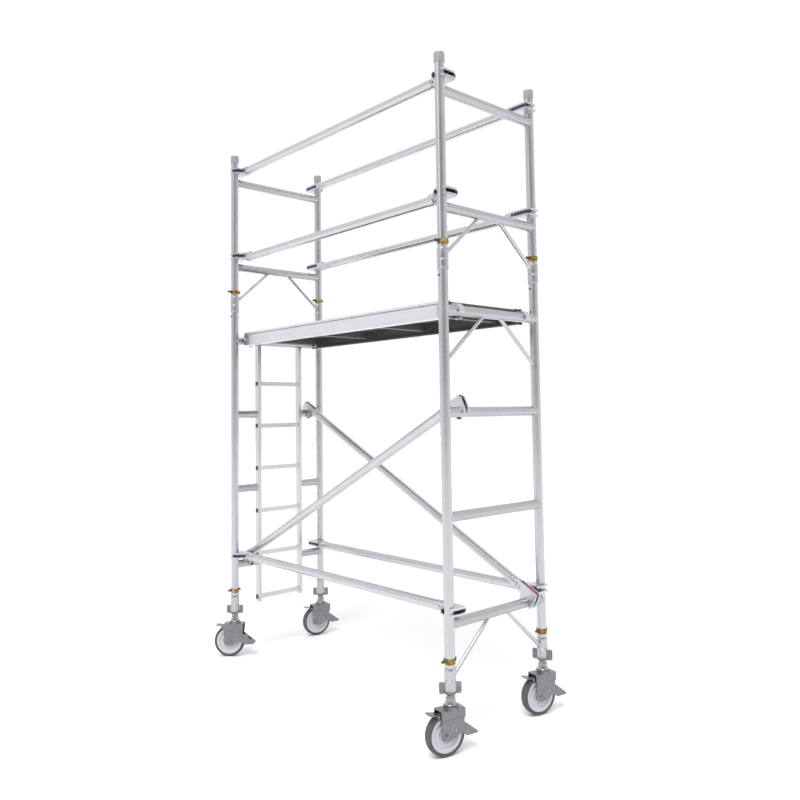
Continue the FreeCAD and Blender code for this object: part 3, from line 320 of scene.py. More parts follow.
zinc("castor_zinc", (0.245, 0.250, 0.265), (0.280, 0.282, 0.290), (0.210, 0.216, 0.230), 0.30)
zinc("leg_zinc", (0.42, 0.425, 0.44), (0.48, 0.475, 0.46), (0.34, 0.35, 0.37), 0.27)
zinc("nut_zinc", (0.27, 0.27, 0.27), (0.33, 0.325, 0.31), (0.22, 0.22, 0.225), 0.42)
zinc("zinc_steel", (0.62, 0.64, 0.67), (0.70, 0.70, 0.69), (0.56, 0.58, 0.62), 0.28)
zinc("gold_zinc", (0.46, 0.32, 0.09), (0.62, 0.50, 0.22), (0.20, 0.10, 0.025), 0.22)

# %% [markdown]
# Moulded parts are not metal: their shine comes from a clear skin over a solid colour. Nylon
# is milky, rubber is dull and picks up dust, and the pawls are a glossy dyed plastic.

# %% Moulded finishes
def moulded(slot, colour, dusty, roughness, grain=500, strength=0.12, dust=0.35, coat=0.0):
    """Plastic or rubber: a base colour with dust in soft patches and a fine moulded grain."""
    material, nodes, links, shader, place = new_material(slot)
    patches = stretched_noise(nodes, links, place, (14, 14, 14), 5.0, 0.6)
    fine = stretched_noise(nodes, links, place, (grain, grain, grain), 3.0)
    links.new(blend_colours(nodes, links, patches, colour,
                            tuple(c + (d - c) * dust for c, d in zip(colour, dusty))),
              shader.inputs["Base Color"])
    links.new(spread(nodes, links, patches, roughness - 0.05, roughness + 0.12),
              shader.inputs["Roughness"])
    shader.inputs["Coat Weight"].default_value = coat
    shader.inputs["Coat Roughness"].default_value = 0.15
    bump(nodes, links, shader, fine, strength, 0.0003)
    FINISHES[slot] = material
    return material


moulded("tyre_grey", (0.055, 0.060, 0.062), (0.13, 0.135, 0.135), 0.58, 400, 0.15, 0.5)
moulded("hub_nylon", (0.60, 0.61, 0.66), (0.50, 0.51, 0.56), 0.34, 300, 0.05, 0.5)
moulded("black_plastic", (0.018, 0.018, 0.02), (0.09, 0.09, 0.09), 0.42, 700, 0.15, 0.4)
moulded("navy_plastic", (0.006, 0.010, 0.055), (0.03, 0.04, 0.12), 0.34, 500, 0.08, 0.4, 0.3)
moulded("crimson_plastic", (0.30, 0.008, 0.030), (0.40, 0.05, 0.08), 0.32, 500, 0.08, 0.4, 0.3)

# %% [markdown]
# The platform board is birch plywood under a dark resin film, rolled with a fine wire mesh so
# that wet boots don't slip. Two crossed waves make the mesh; their product is the relief.

# %% Platform board finish
def film_board(slot):
    """Dark resin film over plywood: a crossed wire pattern in relief, scuffed in patches."""
    material, nodes, links, shader, place = new_material(slot)
    scuffs = stretched_noise(nodes, links, place, (9, 14, 9), 6.0, 0.65)
    heights = []
    for direction in ("X", "Y"):
        wave = nodes.new("ShaderNodeTexWave")
        wave.bands_direction = direction
        wave.inputs["Scale"].default_value = 28.0
        wave.inputs["Distortion"].default_value = 0.0
        links.new(place, wave.inputs["Vector"])
        heights.append(wave.outputs["Fac"])
    mesh_relief = nodes.new("ShaderNodeMath")
    mesh_relief.operation = "MAXIMUM"
    links.new(heights[0], mesh_relief.inputs[0])
    links.new(heights[1], mesh_relief.inputs[1])
    links.new(blend_colours(nodes, links, scuffs, (0.050, 0.045, 0.042), (0.115, 0.105, 0.10)),
              shader.inputs["Base Color"])
    links.new(spread(nodes, links, scuffs, 0.34, 0.62), shader.inputs["Roughness"])
    bump(nodes, links, shader, mesh_relief.outputs[0], 0.35, 0.0006)
    FINISHES[slot] = material


film_board("deck_dark")
print("finishes", len(FINISHES))

# %% [markdown]
# Each part from the design program keeps its shape and takes its finish by slot.

# %% Dress the design's own parts
for node, item in frame["nodes"].items():
    item.data.materials.clear()
    item.data.materials.append(FINISHES[SLOT_OF[node]])
print("dressed", len(frame["nodes"]))

# %% [markdown]
# ## Crisp castings without knife edges
# A solid straight from the design program has edges of zero radius, which no press or mould
# can make and which catch no light. A copy of the part is welded, its flat triangles are
# merged, and a narrow bevel runs round every real edge. The copy then stands for the part.

# %% Bevelled copies of cut and cast parts
def softened(node, width, segments=2, angle=32.0):
    """A bevelled copy of a design part, with the same finish, riding the same body."""
    mesh = frame["nodes"][node].data.copy()
    mesh.materials.clear()
    work = bmesh.new()
    work.from_mesh(mesh)
    bmesh.ops.remove_doubles(work, verts=work.verts, dist=2e-5)
    bmesh.ops.dissolve_limit(work, angle_limit=math.radians(1.0), verts=work.verts,
                             edges=work.edges)
    work.to_mesh(mesh)
    work.free()
    mesh.shade_smooth()
    mesh.set_sharp_from_angle(angle=math.radians(angle))
    item = bpy.data.objects.new(node + "_soft", mesh)
    bpy.context.scene.collection.objects.link(item)
    item.data.materials.append(FINISHES[SLOT_OF[node]])
    bevel = item.modifiers.new("edge", "BEVEL")
    bevel.width = width
    bevel.segments = segments
    bevel.limit_method = "ANGLE"
    bevel.angle_limit = math.radians(angle)
    bevel.use_clamp_overlap = True
    bevel.harden_normals = False
    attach(item, BODY_OF[node])
    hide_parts(node)
    return item


EDGE_WIDTHS = {
    "brace_claws": 0.0014, "platform_fittings": 0.0012, "ladder_stiles": 0.0016,
    "ladder_rungs": 0.0018, "ladder_rung_plugs": 0.0010,
    "deck_board": 0.0006, "trapdoor": 0.0010,
    "trapdoor_hinges": 0.0004, "wind_lock_right": 0.0006, "wind_lock_left": 0.0006,
}
for corner in CORNERS:
    EDGE_WIDTHS["castor_fork_" + corner] = 0.0012
    EDGE_WIDTHS["brake_lever_" + corner] = 0.0008
    EDGE_WIDTHS["wing_nut_" + corner] = 0.0012
for node in frame["nodes"]:
    if node.startswith("pawl_"):
        EDGE_WIDTHS[node] = 0.0012
for node, width in EDGE_WIDTHS.items():
    softened(node, width)
print("softened", len(EDGE_WIDTHS))

# %% [markdown]
# ## Fluted tubes
# Rungs are drawn with shallow flutes so that a boot grips them, and the braces carry a raised
# rib along their length. The section is one function of the angle: the tube's radius, less a
# smooth dip at each flute. The same section is carried from end to end, and where a tube
# meets another it is cut to that tube's curve, so the joint is a true saddle.

# %% Tube surfaces
def dips(angle, places, width, depth):
    """Sum of smooth dips: depth times a bell curve round each place on the circle."""
    total = np.zeros_like(angle)
    for place in places:
        away = (angle - place + np.pi) % (2 * np.pi) - np.pi
        total += depth * np.exp(-(away / width) ** 2)
    return total


def tube_grid(start, end, radius, saddle_start=0.0, saddle_end=0.0, section=None, columns=96):
    """A closed tube from start to end; each end may be cut to a crossing tube's radius.

    A crossing tube of radius R whose axis is upright takes off sqrt(R^2 - x^2) at the sideways
    distance x, so every column starts where its own x meets that tube.
    """
    start, end = np.asarray(start, float), np.asarray(end, float)
    along = (end - start) / np.linalg.norm(end - start)
    up = np.array((0.0, 0.0, 1.0)) if abs(along[2]) < 0.9 else np.array((0.0, 1.0, 0.0))
    side = np.cross(up, along)
    side /= np.linalg.norm(side)
    top = np.cross(along, side)
    angle = np.linspace(0, 2 * np.pi, columns, endpoint=False)
    reach = radius - (section(angle) if section is not None else 0 * angle)
    across, rise = reach * np.cos(angle), reach * np.sin(angle)
    ring = across[:, None] * side + rise[:, None] * top

    def cut(saddle):
        return np.sqrt(np.maximum(saddle ** 2 - across ** 2, 0.0)) if saddle else 0 * across

    low_cut, high_cut = cut(saddle_start), cut(saddle_end)
    length = np.linalg.norm(end - start)
    rows = [np.broadcast_to(start + along * low_cut.max(), ring.shape),
            start + ring * 0.86 + along * low_cut[:, None],
            start + ring + along * low_cut[:, None]]
    rows += [start + ring + along * step for step in np.linspace(0.03, length - 0.03, 9)]
    rows += [start + ring + along * (length - high_cut)[:, None],
             start + ring * 0.86 + along * (length - high_cut)[:, None],
             np.broadcast_to(end - along * high_cut.max(), ring.shape)]
    return np.stack(rows)


def rung_section(angle):
    """Three flutes on each side of a rung, and a flat tread on top and underneath."""
    flutes = [np.pi * n + np.radians(a) for n in (0, 1) for a in (-24, 0, 24)]
    return dips(angle, flutes, 0.075, 0.0011)


def brace_section(angle):
    """Four grooves, between the quarters, as the braces are drawn."""
    return dips(angle, np.radians((35, 145, 215, 325)), 0.12, 0.0008)


def post_section(angle):
    """A post is plain apart from four hairline drawing marks."""
    return dips(angle, np.radians((45, 135, 225, 315)), 0.03, 0.0002)


# %% [markdown]
# Full rungs run from post to post; on the ladder frame, the three lower ones are short stubs
# that end against the ladder's stiles.

# %% Rungs
def rung_ends():
    """Start, end and the saddle radius at each end of every rung and stub."""
    full = [(1, z) for z in RUNGS] + [(-1, RUNGS[3])]
    full += [(side, z) for side in (1, -1) for z in (RAIL_RUNG, TOP_RUNG)]
    spans = [((side * POST_X, -POST_Y, z), (side * POST_X, POST_Y, z), TUBE, TUBE)
             for side, z in full]
    for z in RUNGS[:3]:
        spans.append(((-POST_X, -POST_Y, z), (-POST_X, -STILE_FACE, z), TUBE, 0.0))
        spans.append(((-POST_X, STILE_FACE, z), (-POST_X, POST_Y, z), 0.0, TUBE))
    return spans


RUNG_SPANS = rung_ends()
piece("fluted_rungs", [tube_grid(a, b, TUBE, sa, sb, rung_section) for a, b, sa, sb in RUNG_SPANS],
      "rung_aluminium", "frame", ("frame_rungs",), sharp=50)
print("rungs", len(RUNG_SPANS))

# %% [markdown]
# The posts pass through both lifts. Each tube stops inside the sleeve above it.

# %% Posts
def post_grids():
    """The lower and upper tube of each post."""
    joint = SLEEVE_ENDS[1]
    grids = []
    for side, depth in CORNERS.values():
        x, y = side * POST_X, depth * POST_Y
        for foot, top in ((POST_FOOT, joint + 0.084), (joint + 0.088, POST_TOP)):
            grids.append(tube_grid((x, y, foot), (x, y, top), TUBE, section=post_section))
    return grids


piece("drawn_posts", post_grids(), "tube_aluminium", "frame", ("frame_posts",), sharp=50)

# %% [markdown]
# Horizontal braces run along the bay; two more cross it on a slant. Their ends stop where the
# claws' tails begin, and each horizontal one lies a little above the rung that its claws sit by.

# %% Brace tubes
RAIL_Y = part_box("brace_tubes")[1].y - TUBE
RAIL_END = POST_X - 0.095
RAIL_HEIGHTS = [RUNGS[0] + 0.06, RAIL_RUNG + 0.06, TOP_RUNG + 0.075]
SLOPE = math.atan2(2 * RUNG_PITCH, 2 * POST_X)
DIAGONAL_Y = 0.24


def diagonal_ends(depth, high_side):
    """Both ends of a slanted brace: on rung one or three, 50 mm above the rung, square to it."""
    lean = np.array((-math.sin(SLOPE) * high_side, 0.0, math.cos(SLOPE))) * 0.05
    low = np.array((-high_side * POST_X, depth * DIAGONAL_Y, RUNGS[0])) + lean
    high = np.array((high_side * POST_X, depth * DIAGONAL_Y, RUNGS[2])) + lean
    along = (high - low) / np.linalg.norm(high - low)
    return low + along * 0.095, high - along * 0.095


def brace_grids():
    grids = [tube_grid((-RAIL_END, depth * RAIL_Y, z), (RAIL_END, depth * RAIL_Y, z), TUBE,
                       section=brace_section) for z in RAIL_HEIGHTS for depth in (-1, 1)]
    for depth, high_side in ((-1, 1), (1, -1)):
        start, end = diagonal_ends(depth, high_side)
        grids.append(tube_grid(start, end, TUBE, section=brace_section))
    return grids


piece("ribbed_braces", brace_grids(), "brace_aluminium", "frame", ("brace_tubes",), sharp=50)
print("braces", RAIL_HEIGHTS, round(math.degrees(SLOPE), 2))

# %% [markdown]
# ## Weld beads
# Aluminium frames are welded by hand, so each joint wears a bead like a row of overlapping
# coins. The bead's centre line is where the two tubes meet, and its radius swells and shrinks
# along the way, once for each coin.

# %% Beads round a joint
def bead_grid(centre_line, radius, coins, rows=None, columns=10):
    """A rope along a closed line; radius times one plus a tenth of a rectified cosine."""
    line = np.asarray(centre_line, float)
    count = len(line)
    ahead = np.roll(line, -1, 0) - np.roll(line, 1, 0)
    ahead /= np.maximum(np.linalg.norm(ahead, axis=1, keepdims=True), 1e-9)
    middle = line.mean(0)
    out = line - middle
    out -= (out * ahead).sum(1, keepdims=True) * ahead
    out /= np.maximum(np.linalg.norm(out, axis=1, keepdims=True), 1e-9)
    other = np.cross(ahead, out)
    swell = radius * (0.88 + 0.2 * np.abs(np.cos(np.arange(count) / count * np.pi * coins)))
    turn = np.linspace(0, 2 * np.pi, columns, endpoint=False)
    ring = (np.cos(turn)[None, :, None] * out[:, None] + np.sin(turn)[None, :, None] * other[:, None])
    grid = line[:, None] + swell[:, None, None] * ring
    return np.concatenate([grid, grid[:1]])


def saddle_line(x, post_y, z, towards, count=120):
    """Where a level tube along Y meets an upright post of the same radius."""
    angle = np.linspace(0, 2 * np.pi, count, endpoint=False)
    across, rise = TUBE * np.cos(angle), TUBE * np.sin(angle)
    inward = np.sqrt(TUBE ** 2 - (across * 0.985) ** 2)
    return np.stack([x + across, post_y + towards * inward, z + rise], -1)


def ring_line(x, y, z, radius, count=96):
    """A level or upright ring round a tube's end against a flat face."""
    angle = np.linspace(0, 2 * np.pi, count, endpoint=False)
    return np.stack([x + radius * np.cos(angle), np.full(count, y), z + radius * np.sin(angle)], -1)


beads = []
for (x, y0, z), (_, y1, _), start_saddle, end_saddle in RUNG_SPANS:
    for y, saddle, towards in ((y0, start_saddle, 1), (y1, end_saddle, -1)):
        if saddle:
            beads.append(bead_grid(saddle_line(x, y, z, towards), 0.0024, 34))
        else:
            beads.append(bead_grid(ring_line(x, y + towards * 0.001, z, TUBE - 0.0035), 0.0022, 30))
piece("rung_weld_beads", beads, "cast_aluminium", "frame")
print("beads", len(beads))

# %% [markdown]
# Swaged sleeves join the two lifts. Each is turned here as one profile: a rolled lip at the
# foot, a pressed ring where the lower tube stops, and a taper up to the post.

# %% Sleeves
def sleeve_profile():
    """Radius against height above the sleeve's end, closed inside along its bore."""
    outer = [(0.0252, 0.0), (0.0278, 0.0), (0.0290, 0.0015), (0.0290, 0.006), (0.0283, 0.008),
             (0.0284, 0.046), (0.0270, 0.0475), (0.0270, 0.0500), (0.0286, 0.0515),
             (0.0284, 0.086), (0.0290, 0.088), (0.0290, 0.095), (0.0268, 0.1075),
             (0.0258, 0.108), (0.0252, 0.1075), (0.0252, 0.0)]
    return rounded(outer, 0.0012)


piece("swaged_sleeves",
      [turned(sleeve_profile(), (side * POST_X, depth * POST_Y, end), columns=72)
       for end in SLEEVE_ENDS for side, depth in CORNERS.values()],
      "sleeve_aluminium", "frame", ("post_sleeves",))

# %% [markdown]
# Each post ends in a grey moulded cap with grip ribs round it and a wavy lower edge.

# %% Post caps
def cap_grid(x, y, columns=144):
    """Ribbed cup: radius ripples with the angle, and the skirt's foot waves up and down."""
    cap_low, cap_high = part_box("post_caps")
    angle = np.linspace(0, 2 * np.pi, columns, endpoint=False)
    ribs = 0.0006 * np.cos(24 * angle)
    foot = cap_low.z + 0.0045 * (0.5 - 0.5 * np.cos(6 * angle))
    rows = []
    for radius, share, ripple in ((0.0251, 0.02, 0), (0.0262, 0.0, 0), (0.0267, 0.03, 1),
                                  (0.0268, 0.5, 1), (0.0268, 0.86, 1), (0.0266, 0.93, 0.4),
                                  (0.0258, 0.975, 0), (0.0240, 0.995, 0), (0.0120, 1.0, 0),
                                  (0.0, 1.0, 0)):
        reach = radius + ripple * ribs
        height = foot * (1 - share) + cap_high.z * share
        rows.append(np.stack([x + reach * np.cos(angle), y + reach * np.sin(angle), height], -1))
    inner = np.stack([x + 0.0251 * np.cos(angle), y + 0.0251 * np.sin(angle),
                      np.full(columns, cap_high.z - 0.004)], -1)
    centre = np.broadcast_to(np.array((x, y, cap_high.z - 0.004)), inner.shape)
    return np.stack([centre, inner] + rows)


piece("ribbed_caps", [cap_grid(side * POST_X, depth * POST_Y) for side, depth in CORNERS.values()],
      "cap_plastic", "frame", ("post_caps",))

# %% [markdown]
# ## Interlock clips
# A gold-plated spring band grips each post above its sleeve. It flares a little at the top,
# with a lug folded out on one side and a black knob on the other that pulls the locking pin.

# %% Clips and knobs
clip_low, clip_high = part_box("interlock_clips")
CLIP_HEIGHT = 0.027
CLIP_FEET = (clip_low.z, clip_high.z - CLIP_HEIGHT)


def rounded_block(centre, half, power=5.0, columns=40, rows=18):
    """A superellipsoid: a box whose faces bulge slightly and whose corners are round."""
    angle = np.linspace(0, 2 * np.pi, columns, endpoint=False)[None, :]
    tilt = np.linspace(-np.pi / 2, np.pi / 2, rows)[:, None]

    def soft(value):
        return np.sign(value) * np.abs(value) ** (2.0 / power)

    grid = np.stack([half[0] * soft(np.cos(tilt)) * soft(np.cos(angle)),
                     half[1] * soft(np.cos(tilt)) * soft(np.sin(angle)),
                     half[2] * soft(np.sin(tilt)) * np.ones_like(angle)], -1)
    return grid + np.asarray(centre, float)


def clip_grids(x, y, foot):
    """The band, its two lugs, the pin through them and the rolled rims."""
    band = rounded([(0.0252, 0.001), (0.0262, 0.0), (0.0268, 0.004), (0.0270, 0.012),
                    (0.0285, 0.018), (0.0297, 0.0225), (0.0300, 0.026), (0.0290, 0.027),
                    (0.0278, 0.0262), (0.0252, 0.020), (0.0252, 0.001)], 0.001)
    top = foot + CLIP_HEIGHT
    lugs = [rounded_block((x, y + side * 0.0335, top - 0.009), (0.0078, 0.0062, 0.0088))
            for side in (-1, 1)]
    pin = turned(rounded([(0, 0), (0.0032, 0), (0.0032, 0.0790), (0, 0.0790)], 0.0006),
                 (x, y - 0.0395, top - 0.009), (0, 1, 0), 20)
    return [turned(band, (x, y, foot), columns=64)] + lugs + [pin]


def knob_grid(x, y, foot):
    """A turned pull knob with a waist and a domed end."""
    profile = rounded([(0, 0), (0.0050, 0.0), (0.0062, 0.0015), (0.0065, 0.0045),
                       (0.0052, 0.0070), (0.0046, 0.0095), (0.0058, 0.0128), (0, 0.0128)], 0.0009)
    return turned(profile, (x, y - 0.053, foot + CLIP_HEIGHT - 0.009), (0, 1, 0), 32)


clips = [(side * POST_X, depth * POST_Y, foot) for foot in CLIP_FEET
         for side, depth in CORNERS.values()]
piece("sprung_clips", [grid for spot in clips for grid in clip_grids(*spot)],
      "gold_zinc", "frame", ("interlock_clips",))
piece("clip_pull_knobs", [knob_grid(*spot) for spot in clips],
      "black_plastic", "frame", ("interlock_knobs",))
print("clips", len(clips))

# %% [markdown]
# ## Castor wheels
# The tyre is a turned section with soft shoulders and a fine parting line. The hub is nylon:
# a thick rim, a dished web with two raised rings, and a steel-sleeved boss. Both turn about
# the wheel's own axle, whose direction comes from the wheel joint in the record.

# %% Wheels
JOINTS = {joint["name"]: joint for joint in frame["joints"]}


def wheel_axis(corner):
    joint = JOINTS["wheel_spin_" + corner]
    return np.array(joint["pos_m"]), np.array(joint["axis"])


def both_faces(side_profile):
    """A profile given for one face (radius, half width), mirrored to the other face."""
    face = np.asarray(side_profile, float)
    back = face[::-1] * (1, -1)
    return np.concatenate([face, back, face[:1]])


TYRE = both_faces(rounded([(0.0832, 0.0185), (0.0845, 0.0205), (0.0870, 0.0228), (0.0920, 0.0230),
                           (0.0965, 0.0205), (0.0990, 0.0150), (0.0998, 0.0080), (0.1, 0.0012),
                           (0.0996, 0.0004), (0.0996, 0.0)], 0.002, 4))
HUB = both_faces(rounded([(0.0062, 0.0268), (0.0100, 0.0268), (0.0104, 0.0262), (0.0168, 0.0262),
                          (0.0180, 0.0250), (0.0196, 0.0150), (0.0210, 0.0128), (0.0385, 0.0112),
                          (0.0400, 0.0140), (0.0440, 0.0145), (0.0452, 0.0110), (0.0600, 0.0102),
                          (0.0625, 0.0120), (0.0650, 0.0160), (0.0690, 0.0184), (0.0715, 0.0190),
                          (0.0732, 0.0176), (0.0748, 0.0190), (0.0800, 0.0194), (0.0828, 0.0186)],
                         0.0012))
for corner in CORNERS:
    centre, axis = wheel_axis(corner)
    piece("rubber_tyre_" + corner, [turned(TYRE, centre, axis, 128)], "tyre_grey",
          "wheel_" + corner, ("tyre_" + corner,), sharp=60)
    piece("nylon_hub_" + corner, [turned(HUB, centre, axis, 96)], "hub_nylon",
          "wheel_" + corner, ("wheel_hub_" + corner,), sharp=45)
print("wheel centre", wheel_axis("right_front")[0])

# %% [markdown]
# The axle is a hexagon bolt with a washer, and the brake lever turns on a smaller rivet.
# A hexagon is a circle whose radius is divided by the cosine of the angle to the nearest flat.

# %% Bolts and washers
def hexagon(across_flats, low_end, high_end, centre, axis, columns=72):
    """A hexagon head: flats from 1/cos, its top edge rounded off like a real forged bolt."""
    centre, axis = np.asarray(centre, float), np.asarray(axis, float)
    side = np.cross(axis, (0.0, 0.0, 1.0))
    side /= np.linalg.norm(side)
    other = np.cross(axis, side)
    angle = np.linspace(0, 2 * np.pi, columns, endpoint=False)
    nearest = (angle + np.pi / 6) % (np.pi / 3) - np.pi / 6
    flat = across_flats / 2 / np.cos(nearest)
    rows = []
    for height, limit in ((low_end, 0), (low_end, 9), (high_end - 0.0012, 9), (high_end, 0.94),
                          (high_end, 0)):
        reach = np.minimum(flat, limit * across_flats / 2 * 1.06)
        rows.append(centre + axis * height
                    + reach[:, None] * (np.cos(angle)[:, None] * side + np.sin(angle)[:, None] * other))
    return np.stack(rows)


def washer(inner, outer, low_end, high_end, centre, axis):
    return turned(rounded([(inner, low_end), (outer, low_end), (outer, high_end),
                           (inner, high_end), (inner, low_end)], 0.0004), centre, axis, 48)


FORK_FACE = 0.0325
for corner in CORNERS:
    centre, axis = wheel_axis(corner)
    pivot = np.array(JOINTS["brake_lever_" + corner]["pos_m"])
    grids = []
    for side in (1, -1):
        out = axis * side
        grids.append(washer(0.004, 0.0118, FORK_FACE - 0.0002, FORK_FACE + 0.0018, centre, out))
        grids.append(hexagon(0.0165, FORK_FACE + 0.0015, FORK_FACE + 0.0058, centre, out))
        grids.append(turned(rounded([(0, FORK_FACE - 0.001), (0.0062, FORK_FACE - 0.0005),
                                     (0.0060, FORK_FACE + 0.0012), (0.0035, FORK_FACE + 0.0021),
                                     (0, FORK_FACE + 0.0023)], 0.0006), pivot, out, 32))
    piece("axle_bolts_" + corner, grids, "leg_zinc", "castor_" + corner)

# %% [markdown]
# ## Swivel heads and screw legs
# Between the fork and the leg sits the swivel bearing: a bright dished cup with a rolled rim.
# Above it, the leg's foot flares like a bell, and the leg itself is a coarse screw. Its
# surface is a radius that rises and falls along the tube while the angle turns, so the ridge
# climbs one pitch for each turn.

# %% Swivel cup and threaded leg
THREAD_PITCH = 0.010


def thread_grid(x, y, foot, top, radius, depth, columns=40, steps_per_turn=9):
    """Radius less depth times a soft wave of (height over pitch less angle over a turn)."""
    count = int((top - foot) / THREAD_PITCH * steps_per_turn)
    height = np.linspace(foot, top, count)[:, None]
    angle = np.linspace(0, 2 * np.pi, columns, endpoint=False)[None, :]
    wave = 0.5 + 0.5 * np.cos(2 * np.pi * (height / THREAD_PITCH) - angle)
    reach = radius - depth * wave ** 1.5
    body = np.stack([x + reach * np.cos(angle), y + reach * np.sin(angle),
                     height + 0 * angle], -1)
    low_cap = np.broadcast_to(np.array((x, y, foot)), body[:1].shape)
    high_cap = np.broadcast_to(np.array((x, y, top)), body[:1].shape)
    return np.concatenate([low_cap, body, high_cap])


FLARE = rounded([(0, -0.0262), (0.0136, -0.0262), (0.0138, -0.0170), (0.0088, -0.0164),
                 (0.0088, 0.0), (0.0285, 0.0), (0.0300, 0.0015), (0.0300, 0.0046),
                 (0.0285, 0.0062), (0.0262, 0.0130), (0.0244, 0.0210), (0.0232, 0.0290),
                 (0.0226, 0.0365), (0.0186, 0.0372), (0, 0.0372)], 0.0016)
CUP = rounded([(0.0092, 0.0), (0.0335, 0.0), (0.0352, 0.0012), (0.0358, 0.0032), (0.0345, 0.0052),
               (0.0300, 0.0068), (0.0285, 0.0100), (0.0262, 0.0114), (0.0092, 0.0114),
               (0.0092, 0.0)], 0.0010)
for corner, (side, depth) in CORNERS.items():
    x, y = side * POST_X, depth * POST_Y
    stem_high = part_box("leg_stem_" + corner)[1].z
    fork_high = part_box("castor_fork_" + corner)[1].z
    foot = fork_high + 0.0004
    piece("screw_leg_" + corner,
          [turned(FLARE, (x, y, foot), columns=64),
           thread_grid(x, y, foot + 0.0365, stem_high, 0.0189, 0.0011)],
          "leg_zinc", "leg_" + corner, ("leg_stem_" + corner,), sharp=60)
    piece("swivel_cup_" + corner, [turned(CUP, (x, y, fork_high - 0.0114), columns=64)],
          "zinc_steel", "castor_" + corner)
print("legs", len(CORNERS))

# %% [markdown]
# ## The platform's edge
# Each side beam is one extruded channel: a tall web, two flanges turned in, and a narrow groove
# high on its face where the board's edge strip begins. A dark strip in that groove is painted shade,
# and a dark lining inside the channel is painted shade too. At each end a bracket is bolted on.

# %% Side beams and end brackets
def extruded(name, outlines, slot, body, replaced=()):
    """Prisms: each outline's points at both ends, a quad for every side, a face on each end."""
    points, faces = [], []
    for near, far in outlines:
        start, count = len(points), len(near)
        points += [tuple(p) for p in near] + [tuple(p) for p in far]
        faces += [(start + n, start + (n + 1) % count, start + count + (n + 1) % count,
                   start + count + n) for n in range(count)]
        faces += [tuple(range(start, start + count)),
                  tuple(range(start + 2 * count - 1, start + count - 1, -1))]
    mesh = bpy.data.meshes.new(name)
    mesh.from_pydata(points, [], faces)
    return settle(mesh, name, slot, body, replaced)


beam_low, beam_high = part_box("platform_side_beams")
FACE, INSIDE, WALL = beam_high.y, beam_high.y - 0.042, 0.003
FOOT, CREST = beam_low.z, beam_high.z
CHANNEL = [(FACE - 0.001, FOOT), (FACE, FOOT + 0.001), (FACE, CREST - 0.0180),
           (FACE - 0.0014, CREST - 0.0176), (FACE - 0.0014, CREST - 0.0134), (FACE, CREST - 0.0130),
           (FACE, CREST - 0.001), (FACE - 0.001, CREST), (INSIDE, CREST), (INSIDE, CREST - 0.010),
           (INSIDE + WALL, CREST - 0.010), (INSIDE + WALL, CREST - WALL),
           (FACE - WALL, CREST - WALL), (FACE - WALL, FOOT + WALL), (INSIDE + WALL, FOOT + WALL),
           (INSIDE + WALL, FOOT + 0.010), (INSIDE, FOOT + 0.010), (INSIDE, FOOT)]
extruded("channel_beams",
         [([(beam_low.x, depth * y, z) for y, z in CHANNEL],
           [(beam_high.x, depth * y, z) for y, z in CHANNEL]) for depth in (-1, 1)],
         "beam_aluminium", "platform", ("platform_side_beams",))

# Painted shade: a dark strip laid in the groove stands for the shadow that falls in it.
GROOVE_SHADE = [(FACE - 0.0013, CREST - 0.0175), (FACE - 0.0004, CREST - 0.0175),
        (FACE - 0.0004, CREST - 0.0135), (FACE - 0.0013, CREST - 0.0135)]
extruded("groove_shade_strips",
         [([(beam_low.x, depth * y, z) for y, z in GROOVE_SHADE],
           [(beam_high.x, depth * y, z) for y, z in GROOVE_SHADE]) for depth in (-1, 1)],
         "nut_zinc", "platform")

# A thin dark lining inside each channel is painted shade: it darkens the inner faces where the shade under the
# platform falls.
SKIN = 0.0005
inner_path = [(INSIDE, FOOT), (INSIDE, FOOT + 0.010), (INSIDE + WALL, FOOT + 0.010),
              (INSIDE + WALL, FOOT + WALL), (FACE - WALL, FOOT + WALL), (FACE - WALL, CREST - WALL),
              (INSIDE + WALL, CREST - WALL), (INSIDE + WALL, CREST - 0.010),
              (INSIDE, CREST - 0.010), (INSIDE, CREST)]
steps = [(-1, 0), (-1, 1), (1, 1), (1, 1), (-1, 1), (-1, -1), (1, -1), (1, -1), (-1, -1), (-1, 0)]
SHADE_LINING = inner_path + [(y + SKIN * a, z + SKIN * b)
                       for (y, z), (a, b) in reversed(list(zip(inner_path, steps)))]
extruded("channel_shade_linings",
         [([(beam_low.x + 0.001, depth * y, z) for y, z in SHADE_LINING],
           [(beam_high.x - 0.001, depth * y, z) for y, z in SHADE_LINING]) for depth in (-1, 1)],
         "cross_aluminium", "platform")

# Plain square tubes run across between the side beams, up against the board. Their dark, dull finish is painted
# shade, the shade under the board.
CROSS_X = [-0.9, -0.335, 0.23, 0.795]
cross_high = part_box("platform_cross_beams")[1].z
tube = [(-0.020, -0.043), (-0.019, -0.044), (0.019, -0.044), (0.020, -0.043), (0.020, 0.0),
        (-0.020, 0.0)]
extruded("cross_tubes",
         [([(x + dx, -INSIDE, cross_high + dz) for dx, dz in tube],
           [(x + dx, INSIDE, cross_high + dz) for dx, dz in tube]) for x in CROSS_X],
         "cross_aluminium", "platform", ("platform_cross_beams",))
print("cross tubes", len(CROSS_X), "top at", round(cross_high, 4))

